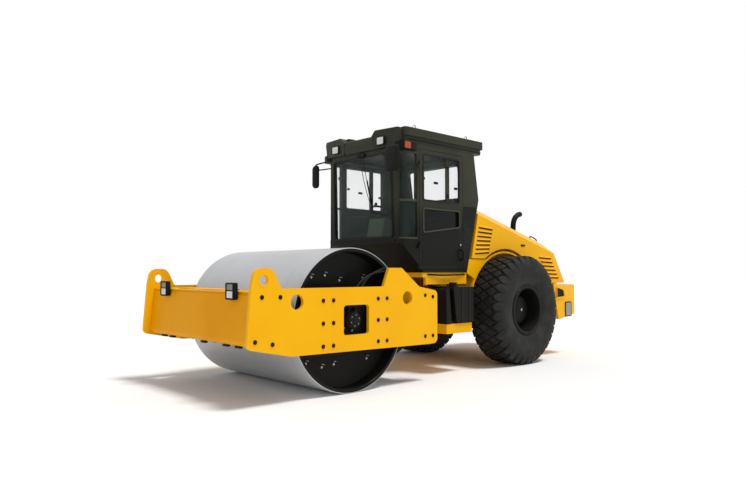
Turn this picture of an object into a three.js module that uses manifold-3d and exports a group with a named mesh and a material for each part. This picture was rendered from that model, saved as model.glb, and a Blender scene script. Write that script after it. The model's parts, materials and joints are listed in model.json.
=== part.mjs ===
// Single-drum soil compactor with a cab: a smooth vibrating drum in a front yoke,
// joined by a centre joint to a rear frame with two driven wheels.
// Millimetres, +X forward, +Y to the machine's left, +Z up. The machine is drawn with
// x = 0 at the drum's axle; the group then moves so that x = 0 is the middle of its length.
import * as THREE from 'three';
import { mergeVertices } from 'three/addons/utils/BufferGeometryUtils.js';
import Module from 'manifold-3d';

const wasm = await Module();
wasm.setup();

// ---------------------------------------------------------------- driving dimensions
const SEAT_GAP = 0.3;            // clearance between pieces that touch

const DRUM_RADIUS = 762;
const DRUM_WIDTH = 2130;
const DRUM_SIDE_GAP = 35;        // from the drum's end to the side plate
const DRUM_WALL = 40;
const DRUM_DISC = { inset: 165, thickness: 40 };
const JOURNAL_RADIUS = 100;

const AXLE_Z = DRUM_RADIUS;       // the drum's axle, and the centre joint's long axis
const PLATE_THICKNESS = 50;
const PLATE_TOP = AXLE_Z + 348;
const PLATE_BOTTOM = AXLE_Z - 326;
const PLATE_REAR_X = -DRUM_RADIUS - 495;
const PLATE_FRONT_X = DRUM_RADIUS + 558;
const PLATE_WINDOW = { half: 175, low: AXLE_Z - 146, high: AXLE_Z + 163 };
const PLATE_HOLE = { x: DRUM_RADIUS - 2, z: AXLE_Z + 215, r: 75 };
const EAR = { x: DRUM_RADIUS + 378, top: PLATE_TOP + 193, hole: 47, holeZ: PLATE_TOP + 80 };
const BUFFER = { x: 375, rise: 228, r: 62 };
const SUPPORT_PLATE = {
  inner: DRUM_WIDTH / 2 - 80, outer: DRUM_WIDTH / 2 - 50, halfX: 450, halfZ: 300,
};
const MACHINE_WIDTH = DRUM_WIDTH + 2 * (DRUM_SIDE_GAP + PLATE_THICKNESS);

const BEAM = {
  wall: 25, back: DRUM_RADIUS + 238, top: DRUM_RADIUS + 433, bottom: DRUM_RADIUS + 480,
  high: AXLE_Z + 323, low: AXLE_Z - 202,
};
const REAR_BEAM = {
  front: -DRUM_RADIUS - 88, rear: -DRUM_RADIUS - 238, low: AXLE_Z - 292, high: AXLE_Z + 298,
};
const SCRAPER = { half: DRUM_WIDTH / 2 - 45, frontGap: 12, frontTurn: 18, rearGap: 17, rearTurn: 35 };

const PIVOT_X = -1600;
const PIVOT_PIN_RADIUS = 50;
const YOKE_PIN = { r: 80, end: PIVOT_X + 160, flange: 150, flangeDepth: 40 };

const WHEEL_CLEARANCE = 120;     // from the cab platform's rear edge to the tyre
const TYRE_RADIUS = 745;
const TYRE_WIDTH = 520;
const BEAD_RADIUS = 318;
const BEAD_HALF = TYRE_WIDTH / 2 - 60;
const HUB_FACE_Y = 600;
const AXLE = { tube: 110, middle: 190, flange: 170 };
const WHEEL_CENTRE_Y = (MACHINE_WIDTH - TYRE_WIDTH) / 2;

const CAB_HALF = 750;
const PLATFORM = {
  front: -1430, rear: -2285, half: CAB_HALF - 10, skirtLow: 1110, high: 1250,
};
const WHEEL_X = PLATFORM.rear - WHEEL_CLEARANCE - TYRE_RADIUS;
const BUMPER = {
  half: 860, low: 540, high: 1085,
  rear: WHEEL_X - TYRE_RADIUS - 1005, front: WHEEL_X - TYRE_RADIUS - 305,
};

// The frame's top clears the centre joint's barrel and the rear axle.
const FRAME = {
  low: AXLE_Z - 242, high: Math.max(AXLE_Z + 238, TYRE_RADIUS + 255), half: 380, plate: 50,
  front: PIVOT_X - 350, rear: BUMPER.front - 50,
};
const FORK = { plate: 50, nose: 110, rear: PIVOT_X - 820 };
const KNUCKLE = {
  low: FRAME.low + FORK.plate + 5, high: FRAME.high - FORK.plate - 5, r: 120, barrel: 130,
  front: REAR_BEAM.rear - YOKE_PIN.flangeDepth - 10,
};

const CYLINDER = {
  baseX: PIVOT_X - 700, baseY: 260, eyeX: PIVOT_X + 90, eyeY: 215, z: AXLE_Z - 2,
};
const CYLINDER_PIN_RADIUS = 25;
const BARREL = { r: 50, eye: 50, eyeHeight: 50, front: 520, boreStart: 150 };
const ROD = { r: 25, start: 320, eye: 45 };

const HOOD_HALF = 750;
const HOOD_WALL = 30;
const HOOD_LIFT = 15;            // the hood's rear edge above the bumper
const HOOD_SHOULDER = 150;       // width of the sloped strip along each top edge
const HOOD_ARCH = TYRE_RADIUS + 105;
const HOOD_FRONT = { x: -2390, low: 1450, topX: -2550, high: 2160 };
const HOOD_HINGE = { x: BUMPER.rear + 176, z: BUMPER.high + 19, r: 18, y: 400, length: 45 };
const ENGINE = { front: WHEEL_X + 200, rear: WHEEL_X - 850, half: 350, high: FRAME.high + 440 };
const FENDER = {
  inner: TYRE_RADIUS + 45, outer: TYRE_RADIUS + 70, innerWall: 25, start: 20, end: 150,
};

const CAB_WALL = 50;
const CAB_LOW = 1260;
const CAB_HEIGHT = 1600;
const CAB_TOP = CAB_LOW + CAB_HEIGHT;
const CAB_FRONT_HALF = CAB_HALF - 130;
const CAB_FRONT_X = -1100;
const CAB_REAR = { low: -2280, kink: -2540, kinkZ: 2240, top: -2440 };
const GLASS = 8;
const DOOR = { front: -1370, rear: -2200, low: 1300, high: CAB_TOP - 65, thickness: 45, gap: 5 };
const HINGE = { r: 14, stand: 15, height: 40 };
const HINGE_LEVELS = [DOOR.low + 260, DOOR.high - 235];
const ROOF = {
  front: -1000, rear: -2620, half: CAB_HALF + 30, lip: 70, high: CAB_TOP + 180,
};
const LIFTING_EYE = {
  half: 28, rise: 57, thick: 14, hole: 14, edge: 80,
  places: [[-1330, 1], [-1330, -1], [-2330, 1], [-2330, -1]],
};

const TANK = {
  front: -1790, rear: -2150, low: 630, high: 1080, inner: 450, outer: CAB_HALF + 220,
};
const CAB_FLOOR = CAB_LOW + CAB_WALL + SEAT_GAP;
const SEAT = { front: -1680, rear: -2150, half: 250, low: 1620, high: 1740, armLow: 1850 };
const WHEEL_RING = { x: -1420, z: 1930, r: 190, bar: 14, rise: 125, tilt: -28 };

// ---------------------------------------------------------------- finishes
const FINISH = {
  yellow: { color: 0xf7b500, roughness: 0.38, metalness: 0 },
  black: { color: 0x17191a, roughness: 0.5, metalness: 0 },
  cab: { color: 0x24261f, roughness: 0.45, metalness: 0 },
  steel: { color: 0xc9cccd, roughness: 0.35, metalness: 0.9 },
  cast: { color: 0x2b2c2c, roughness: 0.65, metalness: 0.3 },
  chrome: { color: 0xe4e6e8, roughness: 0.12, metalness: 1 },
  rubber: { color: 0x161616, roughness: 0.9, metalness: 0 },
  glass: { color: 0x9fb2a4, roughness: 0.05, metalness: 0 },
  fabric: { color: 0x2a2c2b, roughness: 0.85, metalness: 0 },
};

const ROUND = 20;                // sides of a small round piece
const PIN_SIDES = 36;            // sides of the centre joint's pins and bores
const DRUM_SIDES = 64;
const WHEEL_SIDES = 48;

// ---------------------------------------------------------------- solids
/** A closed three.js geometry as a solid, with its faces pointing out. */
function solid(geometry) {
  const plain = geometry.clone();
  for (const name of Object.keys(plain.attributes)) {
    if (name !== 'position') plain.deleteAttribute(name);
  }
  const merged = mergeVertices(plain, 1e-3);
  const position = merged.attributes.position.array;
  const index = merged.index.array;
  const kept = [];
  let volume = 0;
  for (let i = 0; i < index.length; i += 3) {
    const [a, b, c] = [index[i], index[i + 1], index[i + 2]];
    if (a === b || b === c || c === a) continue;
    kept.push(a, b, c);
    const [p, q, r] = [a, b, c].map((k) => new THREE.Vector3().fromArray(position, 3 * k));
    volume += p.dot(q.cross(r));
  }
  if (volume < 0) {
    for (let i = 0; i < kept.length; i += 3) [kept[i], kept[i + 1]] = [kept[i + 1], kept[i]];
  }
  return new wasm.Manifold(new wasm.Mesh({
    numProp: 3,
    vertProperties: Float32Array.from(position),
    triVerts: Uint32Array.from(kept),
  }));
}

const join = (first, ...others) => others.reduce((whole, piece) => whole.add(piece), first);
const cut = (first, ...others) => others.reduce((whole, piece) => whole.subtract(piece), first);

// A plane's name says what its outline's two numbers are; the third is the way it is extruded.
const PLANES = {
  side: new THREE.Matrix4().makeBasis(
    new THREE.Vector3(1, 0, 0), new THREE.Vector3(0, 0, 1), new THREE.Vector3(0, -1, 0)),
  plan: new THREE.Matrix4(),
  front: new THREE.Matrix4().makeBasis(
    new THREE.Vector3(0, 1, 0), new THREE.Vector3(0, 0, 1), new THREE.Vector3(1, 0, 0)),
};

/** Corner points [u, v, radius] as an outline; a corner with a radius becomes an arc. */
function rounded(corners, steps = 3) {
  const points = [];
  corners.forEach(([u, v, radius = 0], i) => {
    const corner = new THREE.Vector2(u, v);
    if (radius === 0) {
      points.push(corner);
      return;
    }
    const [pu, pv] = corners[(i + corners.length - 1) % corners.length];
    const [nu, nv] = corners[(i + 1) % corners.length];
    const back = new THREE.Vector2(pu - u, pv - v).normalize();
    const ahead = new THREE.Vector2(nu - u, nv - v).normalize();
    const half = Math.acos(THREE.MathUtils.clamp(back.dot(ahead), -1, 1)) / 2;
    const middle = back.clone().add(ahead).normalize();
    const centre = corner.clone().addScaledVector(middle, radius / Math.sin(half));
    const from = back.multiplyScalar(radius / Math.tan(half)).add(corner).sub(centre);
    const to = ahead.multiplyScalar(radius / Math.tan(half)).add(corner).sub(centre);
    const turn = Math.atan2(from.cross(to), from.dot(to));
    for (let k = 0; k <= steps; k += 1) {
      const at = from.clone().rotateAround(new THREE.Vector2(), (turn * k) / steps);
      points.push(at.add(centre));
    }
  });
  return points;
}

/** An outline of corners, extruded between two stations of the plane's third axis. */
function slab(plane, corners, from, to, holes = [], placing = new THREE.Matrix4()) {
  const [low, high] = [Math.min(from, to), Math.max(from, to)];
  const shape = new THREE.Shape(rounded(corners));
  shape.holes = holes.map((hole) => new THREE.Path(hole));
  const body = new THREE.ExtrudeGeometry(shape, { depth: high - low, bevelEnabled: false });
  body.applyMatrix4(PLANES[plane]);
  if (plane === 'side') body.translate(0, high, 0);
  if (plane === 'plan') body.translate(0, 0, low);
  if (plane === 'front') body.translate(low, 0, 0);
  return solid(body.applyMatrix4(placing));
}

function box(x0, x1, y0, y1, z0, z1) {
  const body = new THREE.BoxGeometry(Math.abs(x1 - x0), Math.abs(y1 - y0), Math.abs(z1 - z0));
  return solid(body.translate((x0 + x1) / 2, (y0 + y1) / 2, (z0 + z1) / 2));
}

/** A cylinder along x, y or z between two stations, centred on the other two coordinates. */
function rod(axis, r, from, to, centre, sides = ROUND) {
  const body = new THREE.CylinderGeometry(r, r, Math.abs(to - from), sides);
  const middle = (from + to) / 2;
  const [u, v] = centre;
  if (axis === 'x') body.rotateZ(Math.PI / 2).translate(middle, u, v);
  if (axis === 'y') body.translate(u, middle, v);
  if (axis === 'z') body.rotateX(Math.PI / 2).translate(u, v, middle);
  return solid(body);
}

/** The radius of a faceted bore that stays clear of a round pin at every angle. */
const boreFor = (r, sides = ROUND) => (r + SEAT_GAP) / Math.cos(Math.PI / sides);

/** A profile of [radius, station] points turned around the Y axis. */
function turned(profile, sides) {
  return solid(new THREE.LatheGeometry(profile.map(([r, y]) => new THREE.Vector2(r, y)), sides));
}

const closed = (profile) => [...profile, profile[0]];

/** A round tube along a curve through the points. */
function tube(points, r, steps = 8, sides = 8) {
  const curve = new THREE.CatmullRomCurve3(points.map((p) => new THREE.Vector3(...p)));
  const section = new THREE.Shape(circle(0, 0, r, sides));
  return solid(new THREE.ExtrudeGeometry(section, { steps, extrudePath: curve }));
}

function circle(u, v, r, sides = 20) {
  return Array.from({ length: sides }, (_, k) => {
    const angle = (2 * Math.PI * k) / sides;
    return new THREE.Vector2(u + r * Math.cos(angle), v + r * Math.sin(angle));
  });
}

/** A convex outline of [u, v] corners with each edge moved inward by a distance. */
function inset(corners, distance) {
  const area = corners.reduce((sum, [u, v], i) => {
    const [nu, nv] = corners[(i + 1) % corners.length];
    return sum + u * nv - nu * v;
  }, 0);
  const inward = Math.sign(area) * distance;
  const edges = corners.map(([u, v], i) => {
    const [nu, nv] = corners[(i + 1) % corners.length];
    const length = Math.hypot(nu - u, nv - v);
    const normal = [-(nv - v) / length, (nu - u) / length];
    return { normal, level: normal[0] * u + normal[1] * v + inward };
  });
  return corners.map((_, i) => {
    const a = edges[(i + corners.length - 1) % corners.length];
    const b = edges[i];
    const det = a.normal[0] * b.normal[1] - a.normal[1] * b.normal[0];
    return [
      (a.level * b.normal[1] - b.level * a.normal[1]) / det,
      (a.normal[0] * b.level - b.normal[0] * a.level) / det,
    ];
  });
}

// ---------------------------------------------------------------- the assembly
const machine = new THREE.Group();

function add(name, body, finish, parent = machine) {
  const mesh = body.getMesh();
  const geometry = new THREE.BufferGeometry();
  geometry.setAttribute('position', new THREE.BufferAttribute(mesh.vertProperties, 3));
  geometry.setIndex(new THREE.BufferAttribute(mesh.triVerts, 1));
  geometry.computeVertexNormals();
  const part = new THREE.Mesh(geometry, new THREE.MeshStandardMaterial(FINISH[finish]));
  part.name = name;
  parent.add(part);
}

const SIDES = [['left', 1], ['right', -1]];
const HALF_WIDTH = MACHINE_WIDTH / 2;
const PLATE_INNER = HALF_WIDTH - PLATE_THICKNESS;

// ---------------------------------------------------------------- drum
function drum() {
  const half = DRUM_WIDTH / 2;
  const inner = DRUM_RADIUS - DRUM_WALL;
  const discOut = half - DRUM_DISC.inset;
  const discIn = discOut - DRUM_DISC.thickness;
  const bore = boreFor(JOURNAL_RADIUS, DRUM_SIDES);
  const profile = closed([
    [DRUM_RADIUS, -half], [DRUM_RADIUS, half], [inner, half],
    [inner, discOut], [bore, discOut], [bore, discIn], [inner, discIn],
    [inner, -discIn], [bore, -discIn], [bore, -discOut], [inner, -discOut], [inner, -half],
  ]);
  return turned(profile, DRUM_SIDES);
}

const drumGroup = new THREE.Group();
drumGroup.position.z = DRUM_RADIUS;
machine.add(drumGroup);
add('drum_shell', drum(), 'steel', drumGroup);

// ---------------------------------------------------------------- front yoke
function sidePlate(side) {
  const outline = [
    [PLATE_FRONT_X, PLATE_BOTTOM + 124, 60],
    [EAR.x + 135, PLATE_TOP + 15, 20],
    [EAR.x + 100, EAR.top, 95],
    [EAR.x - 100, EAR.top, 95],
    [EAR.x - 195, PLATE_TOP, 25],
    [372 - DRUM_RADIUS, PLATE_TOP],
    [289 - DRUM_RADIUS, EAR.top + 10, 20],
    [95 - DRUM_RADIUS, EAR.top + 10, 20],
    [-DRUM_RADIUS - 189, PLATE_TOP - 10],
    [PLATE_REAR_X, PLATE_TOP - 62, 60],
    [PLATE_REAR_X, PLATE_BOTTOM + 4, 60],
    [-DRUM_RADIUS - 338, PLATE_BOTTOM],
    [DRUM_RADIUS + 68, PLATE_BOTTOM + 24],
  ];
  const window = rounded([
    [-PLATE_WINDOW.half, PLATE_WINDOW.low, 35], [PLATE_WINDOW.half, PLATE_WINDOW.low, 35],
    [PLATE_WINDOW.half, PLATE_WINDOW.high, 35], [-PLATE_WINDOW.half, PLATE_WINDOW.high, 35],
  ]);
  const holes = [
    window,
    circle(PLATE_HOLE.x, PLATE_HOLE.z, PLATE_HOLE.r),
    circle(-PLATE_HOLE.x, PLATE_HOLE.z, PLATE_HOLE.r),
    circle(EAR.x, EAR.holeZ, EAR.hole),
  ];
  return slab('side', outline, side * PLATE_INNER, side * HALF_WIDTH, holes);
}

/** A bent channel whose face leans forward towards the ground. */
function frontBeam() {
  const { wall, back, top, bottom, high, low } = BEAM;
  const outline = [
    [back, high], [top, high, 55], [bottom, low, 55], [back + 20, low],
    [back + 20, low + wall], [bottom - wall, low + wall, 30],
    [top - wall, high - wall, 30], [back, high - wall],
  ];
  const half = PLATE_INNER - SEAT_GAP;
  return slab('side', outline, -half, half);
}

/** The yoke's rear beam with the pin that the centre joint swings on. */
function rearBeam() {
  const half = PLATE_INNER - SEAT_GAP;
  const beam = box(REAR_BEAM.rear, REAR_BEAM.front, -half, half, REAR_BEAM.low, REAR_BEAM.high);
  const axle = [0, AXLE_Z];
  const flangeEnd = REAR_BEAM.rear - YOKE_PIN.flangeDepth;
  const flange = rod('x', YOKE_PIN.flange, flangeEnd, REAR_BEAM.rear + 10, axle);
  const pin = rod('x', YOKE_PIN.r, YOKE_PIN.end, REAR_BEAM.rear + 10, axle, PIN_SIDES);
  return join(beam, flange, pin);
}

/** A plate on six rubber buffers, with the journal that the drum turns on and its motor. */
function drumSupport(side) {
  const { inner, outer, halfX, halfZ } = SUPPORT_PLATE;
  const centreZ = AXLE_Z;
  const plate = slab('side', [
    [-halfX, centreZ - halfZ, 60], [halfX, centreZ - halfZ, 60],
    [halfX, centreZ + halfZ, 60], [-halfX, centreZ + halfZ, 60],
  ], side * inner, side * outer);
  const buffers = [-1, 1].flatMap((fore) => [-1, 0, 1].map((rise) => rod('y', BUFFER.r,
    side * (outer - 5), side * (PLATE_INNER - SEAT_GAP),
    [fore * BUFFER.x, centreZ + rise * BUFFER.rise], 12)));
  const journalEnd = DRUM_WIDTH / 2 - DRUM_DISC.inset - DRUM_DISC.thickness - 20;
  const at = [0, centreZ];
  const journal = rod('y', JOURNAL_RADIUS, side * journalEnd, side * (inner + 5), at, 32);
  const motor = rod('y', 125, side * (outer - 5), side * (outer + 75), at);
  const cover = rod('y', 80, side * (outer - 5), side * (outer + 110), at);
  return join(plate, ...buffers, journal, motor, cover);
}

/** The point below the drum's axle where a scraper's edge stands off the drum's face. */
function scraperEdge(gap, turn, side) {
  const angle = THREE.MathUtils.degToRad(turn);
  const reach = DRUM_RADIUS + gap;
  return [side * reach * Math.cos(angle), AXLE_Z - reach * Math.sin(angle)];
}

/** A scraper blade whose holder hangs under the front beam. */
function frontScraper() {
  const top = BEAM.low - SEAT_GAP;
  const [x, z] = scraperEdge(SCRAPER.frontGap, SCRAPER.frontTurn, 1);
  const holder = BEAM.back + 60;
  return slab('side', [
    [x, z], [holder, top - 26], [holder, top], [holder - 130, top - 10], [x + 2, z + 10],
  ], -SCRAPER.half, SCRAPER.half);
}

/** A scraper blade whose holder hangs under the rear beam. */
function rearScraper() {
  const top = REAR_BEAM.low - SEAT_GAP;
  const [x, z] = scraperEdge(SCRAPER.rearGap, SCRAPER.rearTurn, -1);
  return slab('side', [
    [x, z], [REAR_BEAM.front - 10, top - 45], [REAR_BEAM.rear, top - 45], [REAR_BEAM.rear, top],
    [REAR_BEAM.front - 20, top], [x - 12, z + 22],
  ], -SCRAPER.half, SCRAPER.half);
}

const LAMP = {
  y: 720, halfWidth: 72, low: BEAM.high - 85, high: BEAM.high + 80,
  back: BEAM.top + 1, front: BEAM.bottom + 20,
};
function frontLamp(side) {
  const { y, halfWidth, low, high, back, front } = LAMP;
  const housing = box(back, front, side * y - halfWidth, side * y + halfWidth, low, high);
  return cut(housing, frontBeamKeepOut());
}

/** The space that the front beam fills, one seat gap larger. */
function frontBeamKeepOut() {
  const { back, top, bottom, high, low } = BEAM;
  const outline = inset([[back - 100, low], [bottom, low], [top, high], [back - 100, high]],
    -SEAT_GAP);
  return slab('side', outline, -PLATE_INNER, PLATE_INNER);
}

add('front_beam', frontBeam(), 'yellow');
add('rear_beam', rearBeam(), 'yellow');
add('scraper_front', frontScraper(), 'black');
add('scraper_rear', rearScraper(), 'black');
for (const [name, side] of SIDES) {
  add(`side_plate_${name}`, sidePlate(side), 'yellow');
  add(`drum_support_${name}`, drumSupport(side), 'cast');
  add(`front_lamp_${name}`, frontLamp(side), 'black');
}

// ---------------------------------------------------------------- centre joint and steering
function knuckle() {
  const post = rod('z', KNUCKLE.r, KNUCKLE.low, KNUCKLE.high, [PIVOT_X, 0]);
  const barrel = rod('x', KNUCKLE.barrel, PIVOT_X, KNUCKLE.front, [0, AXLE_Z]);
  const armTop = CYLINDER.z - BARREL.eyeHeight / 2 - SEAT_GAP;
  const reach = CYLINDER.eyeY + ROD.eye + 15;
  const arms = slab('plan', [
    [CYLINDER.eyeX - 65, -reach, 50], [CYLINDER.eyeX + 65, -reach, 50],
    [CYLINDER.eyeX + 65, reach, 50], [CYLINDER.eyeX - 65, reach, 50],
  ], armTop - 40, armTop);
  const pivotBore = rod('z', boreFor(PIVOT_PIN_RADIUS, PIN_SIDES), KNUCKLE.low - 10,
    KNUCKLE.high + 10, [PIVOT_X, 0], PIN_SIDES);
  const yokeBore = rod('x', boreFor(YOKE_PIN.r, PIN_SIDES), YOKE_PIN.end - 10,
    KNUCKLE.front + 10, [0, AXLE_Z], PIN_SIDES);
  return cut(join(post, barrel, arms), pivotBore, yokeBore);
}

const cylinderAngle = (side) => Math.atan2(
  side * (CYLINDER.eyeY - CYLINDER.baseY), CYLINDER.eyeX - CYLINDER.baseX);
const cylinderLength = Math.hypot(
  CYLINDER.eyeX - CYLINDER.baseX, CYLINDER.eyeY - CYLINDER.baseY);
const EYE_LOW = -BARREL.eyeHeight / 2;
const EYE_HIGH = BARREL.eyeHeight / 2;

/** The barrel along its own X axis, with x = 0 at its base pin. */
function barrel() {
  const eye = rod('z', BARREL.eye, EYE_LOW, EYE_HIGH, [0, 0]);
  const body = rod('x', BARREL.r, BARREL.eye - 8, BARREL.front, [0, 0]);
  const pinBore = rod('z', boreFor(CYLINDER_PIN_RADIUS), EYE_LOW - 40, EYE_HIGH + 40, [0, 0]);
  const rodBore = rod('x', boreFor(ROD.r), BARREL.boreStart, BARREL.front + 10, [0, 0]);
  return cut(join(eye, body), pinBore, rodBore);
}

/** The rod along its own X axis, with its eye resting on the knuckle's arm. */
function pistonRod() {
  const shaft = rod('x', ROD.r, ROD.start, cylinderLength, [0, 0]);
  const eye = rod('z', ROD.eye, EYE_LOW, EYE_HIGH, [cylinderLength, 0]);
  const bolt = rod('z', ROD.r, EYE_HIGH - 5, EYE_HIGH + 15, [cylinderLength, 0]);
  return join(shaft, eye, bolt);
}

add('centre_knuckle', knuckle(), 'cast');
for (const [name, side] of SIDES) {
  const cylinder = new THREE.Group();
  cylinder.position.set(CYLINDER.baseX, side * CYLINDER.baseY, CYLINDER.z);
  cylinder.rotation.z = cylinderAngle(side);
  machine.add(cylinder);
  add(`steering_barrel_${name}`, barrel(), 'yellow', cylinder);
  add(`steering_rod_${name}`, pistonRod(), 'chrome', cylinder);
}

// ---------------------------------------------------------------- rear frame
function rearFrame() {
  const { low, high, half, plate, front, rear } = FRAME;
  const rails = SIDES.map(([, side]) => box(rear, front, side * (half - plate), side * half,
    low, high));
  const forkOutline = [
    [PIVOT_X, FORK.nose], [front - 50, half], [FORK.rear, half],
    [FORK.rear, -half], [front - 50, -half], [PIVOT_X, -FORK.nose],
  ];
  const forks = [[low, low + FORK.plate], [high - FORK.plate, high]].flatMap(([from, to]) => [
    slab('plan', forkOutline, from, to),
    rod('z', FORK.nose, from, to, [PIVOT_X, 0]),
  ]);
  const crossPlates = [FORK.rear, rear + plate].map((x) => box(x - plate, x,
    -half + 10, half - 10, low, high));
  const pins = [
    rod('z', PIVOT_PIN_RADIUS, low + 10, high - 10, [PIVOT_X, 0], PIN_SIDES),
    ...SIDES.map(([, side]) => rod('z', CYLINDER_PIN_RADIUS, low + 10, high - 10,
      [CYLINDER.baseX, side * CYLINDER.baseY])),
  ];
  const brackets = SIDES.map(([, side]) => join(
    box(TANK.rear + 20, TANK.front + 150, side * (TANK.inner - 20), side * (TANK.outer - 20),
      TANK.low - 130, TANK.low - 10),
    box(TANK.rear + 20, front - 10, side * (half - 10), side * (TANK.inner - 10),
      TANK.low - 110, Math.max(TANK.low - 10, low + 100)),
  ));
  const notches = SIDES.map(([, side]) => join(
    rod('y', AXLE.tube + SEAT_GAP, side * (half - plate - 10), side * (half + 10),
      [WHEEL_X, TYRE_RADIUS]),
    box(WHEEL_X - AXLE.tube - SEAT_GAP, WHEEL_X + AXLE.tube + SEAT_GAP,
      side * (half - plate - 10), side * (half + 10), low - 10, TYRE_RADIUS),
  ));
  return cut(join(rails[0], rails[1], ...forks, ...crossPlates, ...pins, ...brackets), ...notches);
}

/** Axle housing with a round differential in the middle and a flange at each end. */
function rearAxle() {
  const { tube: r, middle, flange } = AXLE;
  const bulge = Array.from({ length: 7 }, (_, k) => {
    const angle = ((k - 3) / 3) * Math.acos(r / middle);
    return [middle * Math.cos(angle), 1.4 * middle * Math.sin(angle)];
  });
  return turned([
    [0, -HUB_FACE_Y], [flange, -HUB_FACE_Y], [flange, -HUB_FACE_Y + 50], [r, -HUB_FACE_Y + 90],
    ...bulge,
    [r, HUB_FACE_Y - 90], [flange, HUB_FACE_Y - 50], [flange, HUB_FACE_Y], [0, HUB_FACE_Y],
  ], ROUND);
}

function engineBlock() {
  const { front, rear, half, high } = ENGINE;
  return box(rear, front, -half, half, FRAME.high + SEAT_GAP, high);
}

function rearBumper() {
  const { half, low, high, rear, front } = BUMPER;
  const profile = slab('side', [
    [front, high, 20], [rear, high - 15, 40], [rear, low + 85, 60],
    [front - 140, low, 30],
  ], -half, half);
  const plan = slab('plan', [
    [front + 10, half], [rear + 70, half, 60], [rear, half - 120, 60],
    [rear, -half + 120, 60], [rear + 70, -half, 60], [front + 10, -half],
  ], low - 10, high + 10);
  const lugs = SIDES.map(([, side]) => join(
    rod('y', HOOD_HINGE.r, side * HOOD_HINGE.y, side * (HOOD_HINGE.y + HOOD_HINGE.length),
      [HOOD_HINGE.x, HOOD_HINGE.z]),
    box(HOOD_HINGE.x - HOOD_HINGE.r, HOOD_HINGE.x + HOOD_HINGE.r, side * HOOD_HINGE.y,
      side * (HOOD_HINGE.y + HOOD_HINGE.length), high - 30, HOOD_HINGE.z),
  ));
  const stops = SIDES.map(([, side]) => box(rear + 420, rear + 500, side * (HOOD_HALF - 40), side * HOOD_HALF,
    high - 20, high + HOOD_LIFT - SEAT_GAP));
  const railPocket = box(front + 20, FRAME.rear - SEAT_GAP, -FRAME.half - SEAT_GAP,
    FRAME.half + SEAT_GAP, low - 10, high + 10);
  return cut(join(profile.intersect(plan), ...lugs, ...stops), railPocket);
}

/** Wheel housing: a strip around the tyre, its inner wall and a web at the front. */
function fender(side) {
  const { inner, outer, innerWall, start, end } = FENDER;
  const arc = (r, from, to, steps = 14) => Array.from({ length: steps + 1 }, (_, k) => {
    const angle = THREE.MathUtils.degToRad(from + ((to - from) * k) / steps);
    return [WHEEL_X + r * Math.cos(angle), TYRE_RADIUS + r * Math.sin(angle)];
  });
  const wallIn = FRAME.half + SEAT_GAP;
  const wallOut = wallIn + innerWall;
  const edge = HOOD_HALF - 10;
  const strip = slab('side', [...arc(outer, start, end), ...arc(inner, end, start)],
    side * wallIn, side * edge);
  const wall = slab('side', [
    ...arc(outer, start, end), [WHEEL_X - 500, FRAME.high - 100], [WHEEL_X + 500, FRAME.high - 100],
  ], side * wallIn, side * wallOut);
  const crown = arc(outer - 10, 57, start + 12, 8);
  const underHood = box(-4000, 0, -1000, 1000, 0, HOOD_FRONT.low - 10);
  const web = slab('side', [
    [CAB_REAR.low - 15, CAB_LOW - 5], [CAB_REAR.low - 65, HOOD_FRONT.low - 10],
    [crown[0][0], crown[0][1] + 20], ...crown,
  ], side * (edge - 25), side * edge).intersect(underHood);
  return join(strip, wall, web);
}

function sideTank(side) {
  const { front, rear, low, high, inner, outer } = TANK;
  const tank = slab('side', [
    [rear, low, 25], [front - 20, low, 25], [front + 40, high, 25], [rear, high, 25],
  ], side * inner, side * outer);
  const cap = rod('z', 50, high - 10, high + 55, [front - 90, side * (outer - 120)]);
  const step = slab('side', [
    [front + 60, low], [front + 160, low, 15], [front + 170, high - 20, 15], [front + 105, high - 20],
  ], side * (inner + 60), side * (outer - 10));
  const base = box(rear + 40, front + 120, side * (inner + 60), side * (outer - 40),
    low - 10 + SEAT_GAP, low + 20);
  return join(tank, cap, step, base);
}

add('rear_frame', rearFrame(), 'yellow');
const axleGroup = new THREE.Group();
axleGroup.position.set(WHEEL_X, 0, TYRE_RADIUS);
machine.add(axleGroup);
add('rear_axle', rearAxle(), 'cast', axleGroup);
add('engine_block', engineBlock(), 'cast');
add('rear_bumper', rearBumper(), 'yellow');
for (const [name, side] of SIDES) {
  add(`fender_${name}`, fender(side), 'yellow');
  add(`side_tank_${name}`, sideTank(side), 'black');
}

// ---------------------------------------------------------------- rear wheels
function rim() {
  const face = -(WHEEL_CENTRE_Y - HUB_FACE_Y - SEAT_GAP);
  const bead = BEAD_RADIUS - SEAT_GAP;
  const flange = BEAD_HALF + 15;
  return turned([
    [0, face], [170, face], [170, -70], [290, -70], [290, -flange], [345, -flange],
    [bead, -flange + 12], [bead, flange - 12], [345, flange], [290, flange], [290, -40],
    [200, -40], [190, 90], [0, 110],
  ], WHEEL_SIDES);
}

function tyre() {
  const half = TYRE_WIDTH / 2;
  return turned(closed([
    [BEAD_RADIUS, -BEAD_HALF], [BEAD_RADIUS + 180, -half],
    [TYRE_RADIUS - 140, -half], [TYRE_RADIUS - 30, -half + 22], [TYRE_RADIUS, -half + 70],
    [TYRE_RADIUS, half - 70], [TYRE_RADIUS - 30, half - 22], [TYRE_RADIUS - 140, half],
    [BEAD_RADIUS + 180, half], [BEAD_RADIUS, BEAD_HALF],
  ]), WHEEL_SIDES);
}

for (const [name, side] of SIDES) {
  const wheel = new THREE.Group();
  wheel.position.set(WHEEL_X, side * WHEEL_CENTRE_Y, TYRE_RADIUS);
  wheel.rotation.z = side > 0 ? 0 : Math.PI;
  machine.add(wheel);
  add(`rim_${name}`, rim(), 'black', wheel);
  add(`tyre_${name}`, tyre(), 'rubber', wheel);
}

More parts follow.
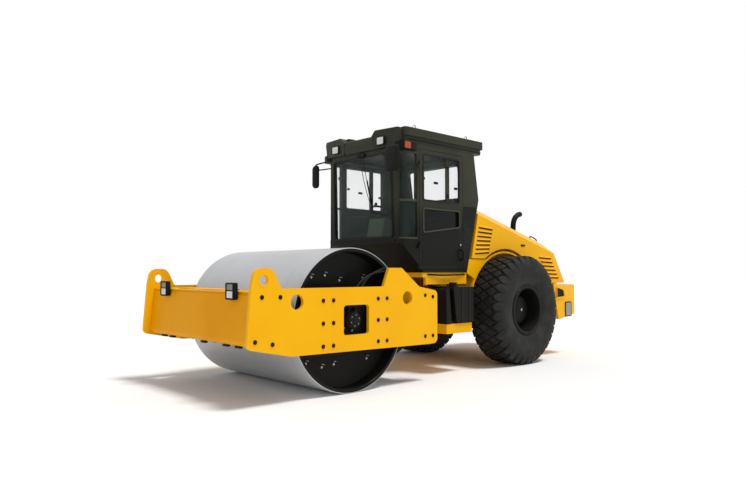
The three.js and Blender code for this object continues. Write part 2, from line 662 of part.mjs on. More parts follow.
// ---------------------------------------------------------------- hood
const HOOD_FLOOR = BUMPER.high + HOOD_LIFT;
const HOOD_REAR = { topX: BUMPER.rear + 660, high: 1715, kinkX: BUMPER.rear + 510, kink: 1560 };
const HOOD_SIDE = [
  [HOOD_FRONT.x, HOOD_FRONT.low], [HOOD_FRONT.topX, HOOD_FRONT.high],
  [HOOD_REAR.topX, HOOD_REAR.high], [HOOD_REAR.kinkX, HOOD_REAR.kink],
  [BUMPER.rear + 200, HOOD_FLOOR],
];
const HOOD_SLOPE = (HOOD_FRONT.high - HOOD_REAR.high) / (HOOD_FRONT.topX - HOOD_REAR.topX);
const FRONT_LEAN = (HOOD_FRONT.x - HOOD_FRONT.topX) / (HOOD_FRONT.high - HOOD_FRONT.low);
const SHOULDER_DROP = 120;

/** The hood's solid outline moved inward by a distance; with no floor it runs on downward. */
function hoodMass(distance, floor) {
  const [[frontX, frontLow], frontTop, rearTop, kink, rearLow] = HOOD_SIDE;
  const side = inset([
    [frontX + (frontLow - floor) * FRONT_LEAN, floor], frontTop, rearTop, kink, rearLow,
    [rearLow[0], floor],
  ], distance);
  const topAt = (x) => HOOD_FRONT.high - (HOOD_FRONT.topX - x) * HOOD_SLOPE;
  const y = HOOD_HALF - distance;
  const top = topAt(0) - distance * Math.hypot(1, HOOD_SLOPE);
  const shoulder = HOOD_SHOULDER - distance * 0.4;
  const lean = new THREE.Matrix4().set(1, 0, 0, 0, 0, 1, 0, 0, HOOD_SLOPE, 0, 1, 0, 0, 0, 0, 1);
  const section = slab('front', [
    [-y, -4000], [y, -4000], [y, top - SHOULDER_DROP], [y - shoulder, top],
    [-y + shoulder, top], [-y, top - SHOULDER_DROP],
  ], -6000, 0, [], lean);
  return slab('side', side, -y, y).intersect(section);
}

function hood() {
  const outside = hoodMass(0, 1000);
  const inside = hoodMass(HOOD_WALL, 900);
  const arch = rod('y', HOOD_ARCH, -HOOD_HALF - 10, HOOD_HALF + 10, [WHEEL_X, TYRE_RADIUS], 48);
  const below = slab('side', [
    [-2200, HOOD_FRONT.low], [WHEEL_X, HOOD_FRONT.low], [WHEEL_X - 420, HOOD_FRONT.low + 40],
    [BUMPER.rear + 618, HOOD_FLOOR + 21], [BUMPER.rear + 570, HOOD_FLOOR],
    [BUMPER.rear - 100, HOOD_FLOOR], [BUMPER.rear - 100, 800], [-2200, 800],
  ], -HOOD_HALF - 10, HOOD_HALF + 10);
  const from = HOOD_HINGE.y + HOOD_HINGE.length + SEAT_GAP;
  const lugs = SIDES.map(([, side]) => join(
    rod('y', HOOD_HINGE.r, side * from, side * (from + HOOD_HINGE.length),
      [HOOD_HINGE.x, HOOD_HINGE.z]),
    box(HOOD_HINGE.x, HOOD_HINGE.x + 44, side * from, side * (from + HOOD_HINGE.length),
      HOOD_HINGE.z - 2, HOOD_HINGE.z + HOOD_HINGE.r),
  ));
  return join(cut(outside, inside, arch, below), ...lugs);
}

/** A tail pipe that leaves the hood's top and bends rearward. */
function exhaust() {
  const [x, y] = [HOOD_REAR.topX + 270, 300];
  const pipe = tube([[x, y, 1650], [x, y, 1900], [x - 12, y, 2030], [x - 55, y, 2110],
    [x - 125, y, 2160], [x - 190, y, 2180]], 42, 12, 10);
  const bore = tube([[x - 90, y, 2140], [x - 125, y, 2160], [x - 190, y, 2180],
    [x - 230, y, 2186]], 36, 5, 10);
  const collar = rod('z', 75, 1700, 1850, [x, y]);
  return cut(join(pipe, collar), bore, hoodMass(-SEAT_GAP, 1000));
}

add('hood', hood(), 'yellow');
add('exhaust_pipe', exhaust(), 'black');

// ---------------------------------------------------------------- cab
const CAB_SIDE = [
  [CAB_FRONT_X - 340, CAB_LOW], [CAB_FRONT_X, CAB_LOW + 360], [CAB_FRONT_X + 30, CAB_TOP],
  [CAB_REAR.top, CAB_TOP], [CAB_REAR.kink, CAB_REAR.kinkZ], [CAB_REAR.low, CAB_LOW],
];
const CAB_PLAN_HALF = [
  [CAB_FRONT_X + 30, CAB_FRONT_HALF], [CAB_FRONT_X - 40, CAB_HALF - 35], [-1340, CAB_HALF],
  [-2900, CAB_HALF],
];
const CAB_PLAN = [
  ...CAB_PLAN_HALF, ...CAB_PLAN_HALF.toReversed().map(([x, y]) => [x, -y]),
];

/** The cab's outer shape with every wall moved inward by a distance. */
function cabMass(distance) {
  const side = slab('side', inset(CAB_SIDE, distance), -1000, 1000);
  return side.intersect(slab('plan', inset(CAB_PLAN, distance), CAB_LOW - 100, CAB_TOP + 100));
}

const WINDSCREEN = { half: CAB_FRONT_HALF - 65, low: 1700, high: CAB_TOP - 120 };
const REAR_WINDOW = { half: CAB_HALF - 270, low: CAB_REAR.kinkZ + 50, high: CAB_TOP - 120 };
const QUARTER = { front: CAB_FRONT_X - 5, rear: -1325, low: 1680, high: CAB_TOP - 120 };

/** A window's prism through the wall, smaller all round by a distance. */
function windowPrism(window, distance, side = 1) {
  const { low, high } = window;
  if (window === QUARTER) {
    const outline = [
      [QUARTER.rear, low + 20, 20], [QUARTER.front, low, 20],
      [QUARTER.front, high, 20], [QUARTER.rear, high, 20],
    ];
    const shrunk = inset(outline, distance).map(([u, v]) => [u, v, 20]);
    return slab('side', shrunk, side * (CAB_HALF - 150), side * (CAB_HALF + 50));
  }
  const { half } = window;
  const outline = [[-half, low], [half, low], [half, high], [-half, high]];
  const shrunk = inset(outline, distance).map(([u, v]) => [u, v, 40]);
  const [from, to] = window === WINDSCREEN
    ? [CAB_FRONT_X - 200, CAB_FRONT_X + 100] : [CAB_REAR.kink - 160, CAB_REAR.top + 90];
  return slab('front', shrunk, from, to);
}

/** One pane of glass in the middle of the wall that its window cuts. */
function pane(window, side = 1) {
  const depth = CAB_WALL / 2 - GLASS / 2;
  const layer = cut(cabMass(depth), cabMass(depth + GLASS));
  return layer.intersect(windowPrism(window, SEAT_GAP, side));
}

const doorEdge = (gap) => [
  [DOOR.rear - gap, DOOR.low - gap], [DOOR.front + gap, DOOR.low - gap],
  [DOOR.front + gap, DOOR.high + gap], [DOOR.rear - gap, DOOR.high + gap],
];

/** Half of a door hinge: the frame's lug at the level, or the door's lug just above it. */
function hingeLug(side, level, onDoor) {
  const x = DOOR.front + DOOR.gap;
  const y = side * (CAB_HALF + HINGE.stand);
  const low = onDoor ? level + HINGE.height + SEAT_GAP : level;
  const reach = onDoor ? -45 : 35;
  const arm = box(x, x + reach, side * (CAB_HALF - 18), y + side * (HINGE.r - 4),
    low, low + HINGE.height);
  return join(rod('z', HINGE.r, low, low + HINGE.height, [x, y], 20), arm);
}

function cabFrame() {
  const shell = cut(cabMass(0), cabMass(CAB_WALL));
  const hatch = slab('plan', inset(CAB_PLAN, CAB_WALL + 20), CAB_TOP - CAB_WALL - 20, CAB_TOP + 20)
    .intersect(box(CAB_FRONT_X - CAB_WALL, CAB_REAR.top + CAB_WALL + 20, -1000, 1000, 0, 4000));
  const doorways = slab('side', doorEdge(DOOR.gap), -1000, 1000)
    .subtract(box(-3000, 0, -CAB_HALF + 60, CAB_HALF - 60, 0, 4000));
  const windows = [WINDSCREEN, REAR_WINDOW].map((window) => windowPrism(window, 0));
  const quarters = SIDES.map(([, side]) => windowPrism(QUARTER, 0, side));
  const lugs = SIDES.flatMap(([, side]) => HINGE_LEVELS.map((z) => hingeLug(side, z, false)));
  const walls = cut(shell, hatch, doorways, ...windows, ...quarters);
  return join(walls, ...lugs);
}

const DOOR_RAIL = { rear: DOOR.rear + 65, front: DOOR.front - 70, low: 2060, high: 2165 };
const DOOR_WINDOW_TOP = DOOR.high - 60;
const DOOR_WINDOWS = [
  [[DOOR_RAIL.rear, DOOR_RAIL.high], [DOOR_RAIL.front, DOOR_RAIL.high],
    [DOOR_RAIL.front, DOOR_WINDOW_TOP], [DOOR_RAIL.rear, DOOR_WINDOW_TOP]],
  [[DOOR_RAIL.rear, 1850], [DOOR_RAIL.front, 1760],
    [DOOR_RAIL.front, DOOR_RAIL.low], [DOOR_RAIL.rear, DOOR_RAIL.low]],
];
const DOOR_PANE = [
  [DOOR_RAIL.rear - 25, 1720], [DOOR_RAIL.front + 25, 1720],
  [DOOR_RAIL.front + 25, DOOR_WINDOW_TOP + 25], [DOOR_RAIL.rear - 25, DOOR_WINDOW_TOP + 25],
];
const doorPrism = (outline, side, distance = 0) => slab('side',
  inset(outline, distance).map(([u, v]) => [u, v, 30]),
  side * (CAB_HALF - 90), side * (CAB_HALF + 20));

function door(side) {
  const panel = slab('side', doorEdge(0), side * (CAB_HALF - DOOR.thickness), side * CAB_HALF);
  const rebate = slab('side', DOOR_PANE, side * (CAB_HALF - DOOR.thickness - 10),
    side * (CAB_HALF - DOOR.thickness + 15));
  const windows = DOOR_WINDOWS.map((outline) => doorPrism(outline, side));
  const lugs = HINGE_LEVELS.map((z) => hingeLug(side, z, true));
  const handle = tube([
    [[-8, 120], [45, 140], [45, 240], [-8, 260]].map(([out, up]) => [
      DOOR.rear + 50, side * (CAB_HALF + out), DOOR.low + up]),
  ].flat(), 11);
  return join(cut(panel, rebate, ...windows), ...lugs, handle);
}

/** The door's glass, set in a rebate behind both of its openings. */
function doorGlass(side) {
  const face = CAB_HALF - DOOR.thickness + 15 - SEAT_GAP;
  return slab('side', inset(DOOR_PANE, SEAT_GAP), side * (face - GLASS), side * face);
}

/** An upright lug with a hole; its sides are straight, so nothing hangs over the roof. */
function liftingEye(x, y) {
  const { half, rise, thick, hole } = LIFTING_EYE;
  const top = ROOF.high + rise;
  return slab('side', [
    [x - half, ROOF.high - 5], [x + half, ROOF.high - 5],
    [x + half, top, half - 2], [x - half, top, half - 2],
  ], y - thick / 2, y + thick / 2, [circle(x, top - half, hole, 12)]);
}

function roof() {
  const { front, rear, half, lip, high } = ROOF;
  const low = CAB_TOP + SEAT_GAP;
  const frontHalf = CAB_FRONT_HALF - 20;
  const outline = (grow) => [
    [front + grow, frontHalf], [front - 60 + grow, half + grow], [rear - grow, half + grow, 40],
    [rear - grow, -half - grow, 40], [front - 60 + grow, -half - grow], [front + grow, -frontHalf],
  ];
  const top = slab('plan', outline(0), low + lip, high);
  const under = slab('plan', outline(-25), low, low + lip + 10);
  const visor = slab('side', [
    [CAB_FRONT_X + 32, low - 55], [front - 5, low - 55, 15], [front + 8, low + 100, 20],
    [CAB_FRONT_X + 32, low + 100],
  ], -frontHalf, frontHalf);
  return join(top, under, visor, ...LIFTING_EYE.places.map(
    ([x, side]) => liftingEye(x, side * (half - LIFTING_EYE.edge))));
}

function platform() {
  const { front, rear, half, skirtLow, high } = PLATFORM;
  const deckHigh = CAB_LOW - SEAT_GAP;
  const deck = box(rear, front, -half, half, high - 50, deckHigh);
  const skirts = SIDES.map(([, side]) => box(rear, front - 60, side * (half - 40), side * half,
    skirtLow, high));
  const legs = SIDES.flatMap(([, side]) => [[-1990, -2090], [-2180, -2280]].map(([a, b]) => box(
    a, b, side * (FRAME.half - 150), side * FRAME.half, FRAME.high + SEAT_GAP, high - 20)));
  return join(deck, ...skirts, ...legs);
}

function seat() {
  const { front, rear, half, low, high, armLow } = SEAT;
  const plinth = box(rear + 50, front - 140, -200, 200, CAB_FLOOR, low + 20);
  const cushion = slab('side', [
    [front - 10, low, 30], [front, high, 50], [rear, high - 20, 40], [rear, low, 30],
  ], -half, half);
  const back = slab('side', [
    [rear + 100, high - 50, 20], [rear + 30, high + 520, 40],
    [rear - 70, high + 520, 35], [rear - 20, low + 20, 30],
  ], -half + 10, half - 10);
  const arms = SIDES.map(([, side]) => slab('side', [
    [front - 80, armLow, 25], [front - 80, armLow + 60, 25],
    [rear + 50, armLow + 60, 20], [rear + 50, armLow, 20],
  ], side * (half - 15), side * (half + 60)));
  return join(plinth, cushion, back, ...arms);
}

function steeringConsole() {
  const column = slab('side', [
    [-1480, CAB_FLOOR, 10], [-1620, CAB_FLOOR, 10], [-1490, 1950, 40],
    [-1350, 1985, 40], [-1290, 1690, 60],
  ], -150, 150);
  const { x, z, r, bar, rise, tilt } = WHEEL_RING;
  const placed = (geometry) => solid(
    geometry.rotateY(THREE.MathUtils.degToRad(tilt)).translate(x, 0, z));
  const shaft = new THREE.CylinderGeometry(28, 28, rise + 5, 16).rotateX(Math.PI / 2);
  const ring = new THREE.TorusGeometry(r, bar, 6, 20).translate(0, 0, rise);
  const spokes = [60, 180, 300].map((angle) => new THREE.BoxGeometry(r, 28, 18)
    .translate(r / 2, 0, 0).rotateZ(THREE.MathUtils.degToRad(angle)).translate(0, 0, rise));
  return join(column, placed(shaft.translate(0, 0, 65)), placed(ring), ...spokes.map(placed));
}

function mirrorLeft() {
  const y = CAB_FRONT_HALF;
  const glassBox = slab('front', [
    [y + 20, CAB_TOP - 395, 60], [y + 250, CAB_TOP - 395, 60],
    [y + 250, CAB_TOP - 80, 60], [y + 20, CAB_TOP - 80, 60],
  ], -905, -860);
  const arm = tube([
    [-1110, y + 40, CAB_TOP - 70], [-1010, y + 100, CAB_TOP - 75],
    [-930, y + 125, CAB_TOP - 85], [-884, y + 130, CAB_TOP - 130],
  ], 11);
  return cut(join(glassBox, arm), cabMass(-SEAT_GAP));
}

function mirrorRight() {
  const y = -CAB_FRONT_HALF;
  const glassBox = slab('front', [
    [y - 475, CAB_TOP - 410, 45], [y - 345, CAB_TOP - 410, 45],
    [y - 345, CAB_TOP - 90, 45], [y - 475, CAB_TOP - 90, 45],
  ], -1140, -1095);
  const upper = tube([
    [-1130, y - 40, CAB_TOP - 70], [-1125, y - 180, CAB_TOP - 80], [-1118, y - 380, CAB_TOP - 130],
  ], 10);
  const lower = tube([
    [-1130, y - 40, CAB_TOP - 170], [-1125, y - 180, CAB_TOP - 170], [-1118, y - 380, CAB_TOP - 160],
  ], 10);
  return cut(join(glassBox, upper, lower), cabMass(-SEAT_GAP));
}

add('cab_frame', cabFrame(), 'cab');
add('cab_roof', roof(), 'cab');
add('cab_platform', platform(), 'yellow');
add('windscreen', pane(WINDSCREEN), 'glass');
add('rear_window', pane(REAR_WINDOW), 'glass');
add('seat', seat(), 'fabric');
add('steering_console', steeringConsole(), 'black');
add('mirror_left', mirrorLeft(), 'black');
add('mirror_right', mirrorRight(), 'black');
for (const [name, side] of SIDES) {
  add(`quarter_window_${name}`, pane(QUARTER, side), 'glass');
  add(`door_${name}`, door(side), 'cab');
  add(`door_glass_${name}`, doorGlass(side), 'glass');
}

const extent = new THREE.Box3().setFromObject(machine);
machine.position.x = -(extent.min.x + extent.max.x) / 2;

export default machine;
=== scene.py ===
import functools
import json
import math

import bmesh
import bpy
import numpy as np
from mathutils.geometry import tessellate_polygon
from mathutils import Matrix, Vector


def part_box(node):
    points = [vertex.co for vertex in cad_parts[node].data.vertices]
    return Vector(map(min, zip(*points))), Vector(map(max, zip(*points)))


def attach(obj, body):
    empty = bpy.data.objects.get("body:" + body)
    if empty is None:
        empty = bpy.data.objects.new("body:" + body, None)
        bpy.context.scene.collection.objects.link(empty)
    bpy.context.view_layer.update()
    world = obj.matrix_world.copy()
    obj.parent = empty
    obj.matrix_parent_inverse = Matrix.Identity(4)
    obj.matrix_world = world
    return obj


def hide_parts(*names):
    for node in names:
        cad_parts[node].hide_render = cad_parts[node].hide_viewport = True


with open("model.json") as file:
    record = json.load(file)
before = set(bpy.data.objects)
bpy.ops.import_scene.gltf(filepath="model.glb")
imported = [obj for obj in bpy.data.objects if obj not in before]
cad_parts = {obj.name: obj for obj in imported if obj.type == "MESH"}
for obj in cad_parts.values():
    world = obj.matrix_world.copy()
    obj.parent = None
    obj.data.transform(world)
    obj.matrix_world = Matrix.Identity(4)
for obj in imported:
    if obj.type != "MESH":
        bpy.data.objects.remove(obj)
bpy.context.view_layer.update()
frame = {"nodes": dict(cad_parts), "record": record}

# Every shape is drawn in metres with x = 0 at the drum's axle, +X forward, +Y left, +Z up.
# piece() moves it into the frame by AXLE_X. Most are drawn on the left, and pair() adds the
# mirror image.


def middle_and_half(node):
    """The centre of a node's box, and half its size."""
    low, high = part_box(node)
    return (low + high) / 2, (high - low) / 2


drum_middle, drum_half = middle_and_half("drum_shell")
AXLE_X, DRUM_HALF, DRUM_R = drum_middle.x, drum_half.y, drum_half.z
DRUM_Z = DRUM_R  # it stands on the ground
tyre_middle, tyre_half = middle_and_half("tyre_left")
WHEEL_X, TYRE_Y = tyre_middle.x - AXLE_X, tyre_middle.y
TYRE_HALF, TYRE_R = tyre_half.y, tyre_half.z
PLATE_INNER, HALF_WIDTH = (corner.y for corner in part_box("side_plate_left"))
PLATE_FACE = HALF_WIDTH - 0.0120  # the plates' outer face, behind the heads of their bolts
SIDE_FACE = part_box("hood")[1].y + 0.0003  # just clear of the hood's and the cab's sides
SIDES = (("left", 1), ("right", -1))
BODY_OF = {n: b for b, nodes in frame["record"]["behaviour"]["bodies"].items() for n in nodes}


# ------------------------------------------------------------------ finishes
def colour(code):
    """A six-figure display colour as the linear one that a shader wants."""
    parts = [int(code[i:i + 2], 16) / 255 for i in (0, 2, 4)]
    return tuple(c / 12.92 if c <= 0.04045 else ((c + 0.055) / 1.055) ** 2.4 for c in parts) + (1,)


class Value:
    """A socket of a finish. Arithmetic on it adds Math nodes."""

    def __init__(self, finish, socket):
        self.finish, self.socket = finish, socket

    def math(self, operation, other, swap=False):
        pair = {0: other, 1: self} if swap else {0: self, 1: other}
        return self.finish.node("Math", pair, operation=operation)

    def __add__(self, other):
        return self.math("ADD", other)

    def __rsub__(self, other):
        return self.math("SUBTRACT", other, True)

    def __mul__(self, other):
        return self.math("MULTIPLY", other)

    def __pow__(self, other):
        return self.math("POWER", other)

    __radd__, __rmul__ = __add__, __mul__

    def rise(self, low, high):
        """0 below low, 1 above high, with a smooth step between."""
        return self.finish.node("MapRange", {"Value": self, "From Min": low, "From Max": high},
                                interpolation_type="SMOOTHSTEP")


class Finish:
    """One material, made for a slot of the record."""

    def __init__(self, name, slot):
        self.slot = slot
        self.material = bpy.data.materials.new(name)
        self.material.use_nodes = True
        self.tree = self.material.node_tree
        self.shader = self.tree.nodes["Principled BSDF"]

    def fill(self, sockets, values):
        """Gives each socket its value: a link, a six-figure colour or a plain number."""
        for key, value in values.items():
            if isinstance(value, Value):
                self.tree.links.new(value.socket, sockets[key])
            else:
                sockets[key].default_value = colour(value) if isinstance(value, str) else value

    def node(self, kind, values, output=0, **settings):
        """A node of a kind, with the values or links of its sockets and its settings."""
        made = self.tree.nodes.new("ShaderNode" + kind)
        for key, setting in settings.items():
            setattr(made, key, setting)
        self.fill(made.inputs, values)
        return Value(self, made.outputs[output])

    def set(self, **values):
        self.fill(self.shader.inputs, {key.replace("_", " "): v for key, v in values.items()})

    def place(self, scale=(1, 1, 1)):
        """Object coordinates, stretched."""
        return self.node("Mapping", {"Vector": self.node("TexCoord", {}, 3), "Scale": scale})

    def noise(self, place, scale, detail=2.0, rough=0.5):
        return self.node("TexNoise", {"Vector": place, "Scale": scale, "Detail": detail,
                                      "Roughness": rough})

    def wave(self, place, scale, along):
        return self.node("TexWave", {"Vector": place, "Scale": scale}, bands_direction=along)

    def axis(self, place, which):
        return self.node("SeparateXYZ", {"Vector": place}, which)

    def mix(self, factor, first, second):
        return self.node("Mix", {0: factor, 6: first, 7: second}, 2, data_type="RGBA")

    def bump(self, height, strength, distance):
        self.set(Normal=self.node("Bump", {"Strength": strength, "Distance": distance,
                                           "Height": height}))
        return self


def enamel(name, slot, base, shade, tint_amount, roughness, coat, gloss=0.14, peel=0.05):
    """Sprayed enamel: the colour drifts a little over each panel, a fine orange peel breaks
    up its gloss, and towards the ground a grey-brown tint mixes in, in patches, and makes it rougher."""
    f = Finish(name, slot)
    place = f.place()
    drift = f.noise(place, 1.7, 3)
    speck = f.noise(place, 55, 3)
    # Towards the ground, in patches, a grey-brown tint mixes into the colour and the enamel grows rougher.
    low = 1 - f.axis(place, 2).rise(0.15, 1.35)
    ground_tint = low * (drift * 0.7 + speck * 0.5).rise(0.45, 0.85)
    tone = f.mix(drift.rise(0.35, 0.75) * 0.5, base, shade)
    f.set(Base_Color=f.mix(ground_tint * tint_amount, tone, "6b5c46"),
          Roughness=roughness + speck * 0.1 + ground_tint * 0.25, Coat_Weight=coat, Coat_Roughness=0.12,
          IOR=1.45, Specular_IOR_Level=gloss)
    return f.bump(f.noise(place, 240, 1), peel, 0.002)


YELLOW = enamel("yellow_enamel", "yellow_paint", "fdbb00", "f8ae00", 0.04, 0.34, 0.03)
# Painted shade: a darker copy of the yellow enamel for the front beam, whose face is turned from the
# light.
BEAM_SHADED_YELLOW = enamel("yellow_enamel_beam_shaded", "yellow_paint", "f3a600", "e79700", 0.02, 0.36, 0.0, 0.07)
BLACK = enamel("black_enamel", "black_paint", "0e0f0d", "090a09", 0.10, 0.45, 0.03)
CAST = enamel("cast_black", "cast_black", "161716", "0e0f0e", 0.18, 0.6, 0.0, 0.2, 0.35)
# Painted shade: a brown, shaded copy of the yellow enamel for the thin sheets in the louvres' slots.
SHADE = enamel("slot_shade", "yellow_paint", "5e3606", "4a2a05", 0.0, 0.7, 0.0)


def cab_enamel():
    """Olive-black enamel, darker towards the cab's floor, with a soft sheen on each panel."""
    f = Finish("cab_enamel", "cab_paint")
    place = f.place()
    drift = f.noise(place, 2.6, 4)
    upper = f.axis(place, 2).rise(1.75, 2.3)
    tone = f.mix(upper, "0e0f0b", "34352a")
    f.set(Base_Color=f.mix(drift.rise(0.35, 0.75) * 0.35, tone, "1c1d17"),
          Roughness=0.36 + drift * 0.16, Coat_Weight=0.05, Coat_Roughness=0.1,
          Specular_IOR_Level=0.12)
    return f.bump(f.noise(place, 240, 1), 0.05, 0.002)


CAB = cab_enamel()
TRIM = enamel("cab_trim", "cab_paint", "47483b", "3b3c31", 0.0, 0.4, 0.03)


def moulded(name, base):
    """Moulded plastic with a fine leather-like grain."""
    f = Finish(name, "black_plastic")
    place = f.place()
    grain = f.node("TexVoronoi", {"Vector": place, "Scale": 420}, feature="SMOOTH_F1")
    haze = f.noise(place, 9, 4)
    f.set(Base_Color=f.mix(haze.rise(0.3, 0.8) * 0.4, base, f.mix(0.5, base, "343633")),
          Roughness=0.5 + haze * 0.15, Specular_IOR_Level=0.13)
    return f.bump(grain, 0.18, 0.001)


PLASTIC = moulded("moulded_black", "101110")
OLIVE = moulded("moulded_olive", "475040")


def rolled_steel():
    """The drum's face: bright steel rolled smooth by the ground, with fine lines running
    round it, broad dull clouds and a few scuffs."""
    f = Finish("rolled_steel", "drum_steel")
    place = f.place()
    lines = f.noise(f.place((3, 190, 3)), 1.0, 4, 0.6)
    fine = f.noise(f.place((9, 900, 9)), 1.0, 2)
    cloud = f.noise(place, 2.2, 4)
    scuff = f.noise(f.place((14, 60, 14)), 1.0, 5, 0.7).rise(0.62, 0.72)
    tone = f.mix(lines.rise(0.3, 0.75), "c6c8ca", "b1b3b6")
    tone = f.mix(cloud.rise(0.5, 0.8) * 0.35, tone, "9a9c9e")
    f.set(Base_Color=f.mix(scuff * 0.35, tone, "80807f"), Metallic=0.45,
          Roughness=0.34 + lines * 0.14 + cloud * 0.1 + scuff * 0.15)
    return f.bump(lines + fine * 0.5, 0.06, 0.002)


def bright_metal(name, slot, base, roughness):
    """Plated or machined metal with faint handling marks."""
    f = Finish(name, slot)
    smear = f.noise(f.place(), 24, 4)
    f.set(Base_Color=base, Metallic=1.0, Roughness=roughness + smear * 0.12)
    return f.bump(smear, 0.03, 0.001)


STEEL = rolled_steel()
CHROME = bright_metal("chrome", "rod_chrome", "e2e4e6", 0.08)
ZINC = bright_metal("zinc_fastener", "rod_chrome", "a8a9a6", 0.34)


def rubber(name, base, tint_amount):
    """Tyre rubber: dull black, with fine pores and pale dust in the hollows."""
    f = Finish(name, "tyre_rubber")
    place = f.place()
    pores = f.noise(place, 160, 3, 0.7)
    patch = f.noise(place, 6, 4)
    f.set(Base_Color=f.mix(patch.rise(0.4, 0.8) * tint_amount, base, "5a564c"),
          Roughness=0.62 + pores * 0.25, Specular_IOR_Level=0.3)
    return f.bump(pores, 0.25, 0.002)


RUBBER = rubber("tyre_rubber", "171716", 0.22)
SEAL = rubber("seal_rubber", "141414", 0.1)


def tinted_glass():
    """Thin tinted glass: mostly clear straight on, and more of a mirror at a glancing angle."""
    f = Finish("tinted_glass", "tinted_glass")
    glance = f.node("LayerWeight", {"Blend": 0.5}, 1) ** 3
    haze = f.noise(f.place(), 3.5, 3)
    f.set(Base_Color=f.mix(haze * 0.4, "6d8480", "9fb3b0"),
          Roughness=0.02 + haze * 0.03, Alpha=(glance * 0.6 + 0.03) + haze * 0.02,
          Specular_IOR_Level=0.8, Coat_Weight=0.8, Coat_Roughness=0.01)
    return f


def dark_glass():
    """Deep-tinted glass with a green cast and soft painted reflections: lighter patches mixed into its
    colour.
    """
    f = Finish("dark_glass", "tinted_glass")
    # Painted reflection: stretched patches of a lighter green in the base colour, a little rougher there.
    painted_reflection = f.noise(f.place((2.2, 2.2, 3.4)), 1.0, 3).rise(0.46, 0.62)
    f.set(Base_Color=f.mix(painted_reflection, "0c110d", "1c2722"), Roughness=0.05 + painted_reflection * 0.05,
          Specular_IOR_Level=0.1, Coat_Weight=0.05, Coat_Roughness=0.02)
    return f


GLASS, DARK_GLASS = tinted_glass(), dark_glass()


def lens(name, base, roughness, ribs):
    """Moulded lamp glass with upright flutes, each striped with a painted highlight, and a fine cross
    pattern.
    """
    f = Finish(name, "tinted_glass")
    flute, cross = f.wave(f.place(), ribs, "Y"), f.wave(f.place(), ribs * 0.7, "Z")
    # Painted highlight: a brighter copy of the colour mixed in along the flutes.
    flute_highlight = tuple(min(1.0, 1.4 * c) for c in colour(base)[:3]) + (1,)
    f.set(Base_Color=f.mix(flute * 0.6, base, flute_highlight), Roughness=roughness + cross * 0.08,
          Coat_Weight=0.3, Coat_Roughness=0.02, Specular_IOR_Level=0.3)
    return f.bump(flute + cross, 0.3, 0.003)


CLEAR_LENS = lens("clear_lens", "d6dad8", 0.12, 60)
SMOKE_LENS = lens("smoke_lens", "70776f", 0.15, 45)
GREY_LENS = lens("grey_lens", "8d9089", 0.2, 30)
RED_LENS = lens("red_lens", "9c1208", 0.15, 45)
ORANGE_LENS = lens("orange_lens", "9c3a0c", 0.14, 55)


def mirror_face():
    """Silvered mirror glass, a little dusty."""
    f = Finish("mirror_face", "rod_chrome")
    dusty = f.noise(f.place(), 12, 4)
    f.set(Base_Color="cfd6d8", Metallic=1.0, Roughness=0.02 + dusty * 0.05)
    return f


MIRROR = mirror_face()


def woven_cloth():
    """Seat cloth: a plain weave of grey-green threads, each over and under the next."""
    f = Finish("seat_cloth", "seat_fabric")
    place = f.place()
    warp, weft, rise = (f.wave(place, 130, along) for along in "XYZ")
    thread = warp * weft + rise * 0.5
    fade = f.noise(place, 11, 4)
    tone = f.mix(thread.rise(0.1, 0.9), "46513f", "6c7860")
    f.set(Base_Color=f.mix(fade.rise(0.4, 0.7) * 0.3, tone, "7b8669"), Roughness=0.9,
          Sheen_Weight=0.35, Sheen_Roughness=0.5)
    return f.bump(thread, 0.5, 0.0015)


CLOTH = woven_cloth()


# ------------------------------------------------------------------ shapes
class Shape:
    """Points and faces of closed forms. Adding two shapes keeps both in one piece."""

    def __init__(self, points, faces):
        self.points, self.faces = np.asarray(points, float), faces

    def __add__(self, other):
        count = len(self.points)
        return Shape(np.vstack([self.points, other.points]),
                     self.faces + [f + count for f in other.faces])

    def moved(self, x=0.0, y=0.0, z=0.0):
        return Shape(self.points + (x, y, z), self.faces)

    def turned(self, axis, degrees):
        """Each point turned about an axis through the origin."""
        a = math.radians(degrees)
        u, v = {"y": (2, 0), "z": (0, 1)}[axis]
        p, q = self.points, self.points.copy()
        q[:, u] = p[:, u] * math.cos(a) - p[:, v] * math.sin(a)
        q[:, v] = p[:, u] * math.sin(a) + p[:, v] * math.cos(a)
        return Shape(q, self.faces)

    def sheared(self, slope, level, along=0, by=2):
        """Coordinate along grows by slope for each metre of coordinate by above a level."""
        p = self.points.copy()
        p[:, along] += (p[:, by] - level) * slope
        return Shape(p, self.faces)

    def mirrored(self):
        return Shape(self.points * (1, -1, 1), self.faces)


def both(shape):
    return shape + shape.mirrored()


def total(shapes):
    """Several shapes in one piece."""
    return functools.reduce(lambda first, second: first + second, shapes)


def quads(n, m, around_n=False, around_m=True):
    """The faces of an n by m grid of points, closed round either way."""
    i = np.arange(n if around_n else n - 1)[:, None]
    j = np.arange(m if around_m else m - 1)[None, :]
    i2, j2 = (i + 1) % n, (j + 1) % m
    corners = [i * m + j, i * m + j2, i2 * m + j2, i2 * m + j]
    return np.stack(np.broadcast_arrays(*corners), -1).reshape(-1, 4)


def loft(sections, ring=False):
    """Closed sections (stations, points, 3) joined in order, with a face over each end."""
    sections = np.asarray(sections, float)
    n, m = sections.shape[:2]
    faces = [quads(n, m, around_n=ring)]
    if not ring:
        faces += [np.arange(m)[None, ::-1], np.arange(m)[None, :] + (n - 1) * m]
    return Shape(sections.reshape(-1, 3), faces)


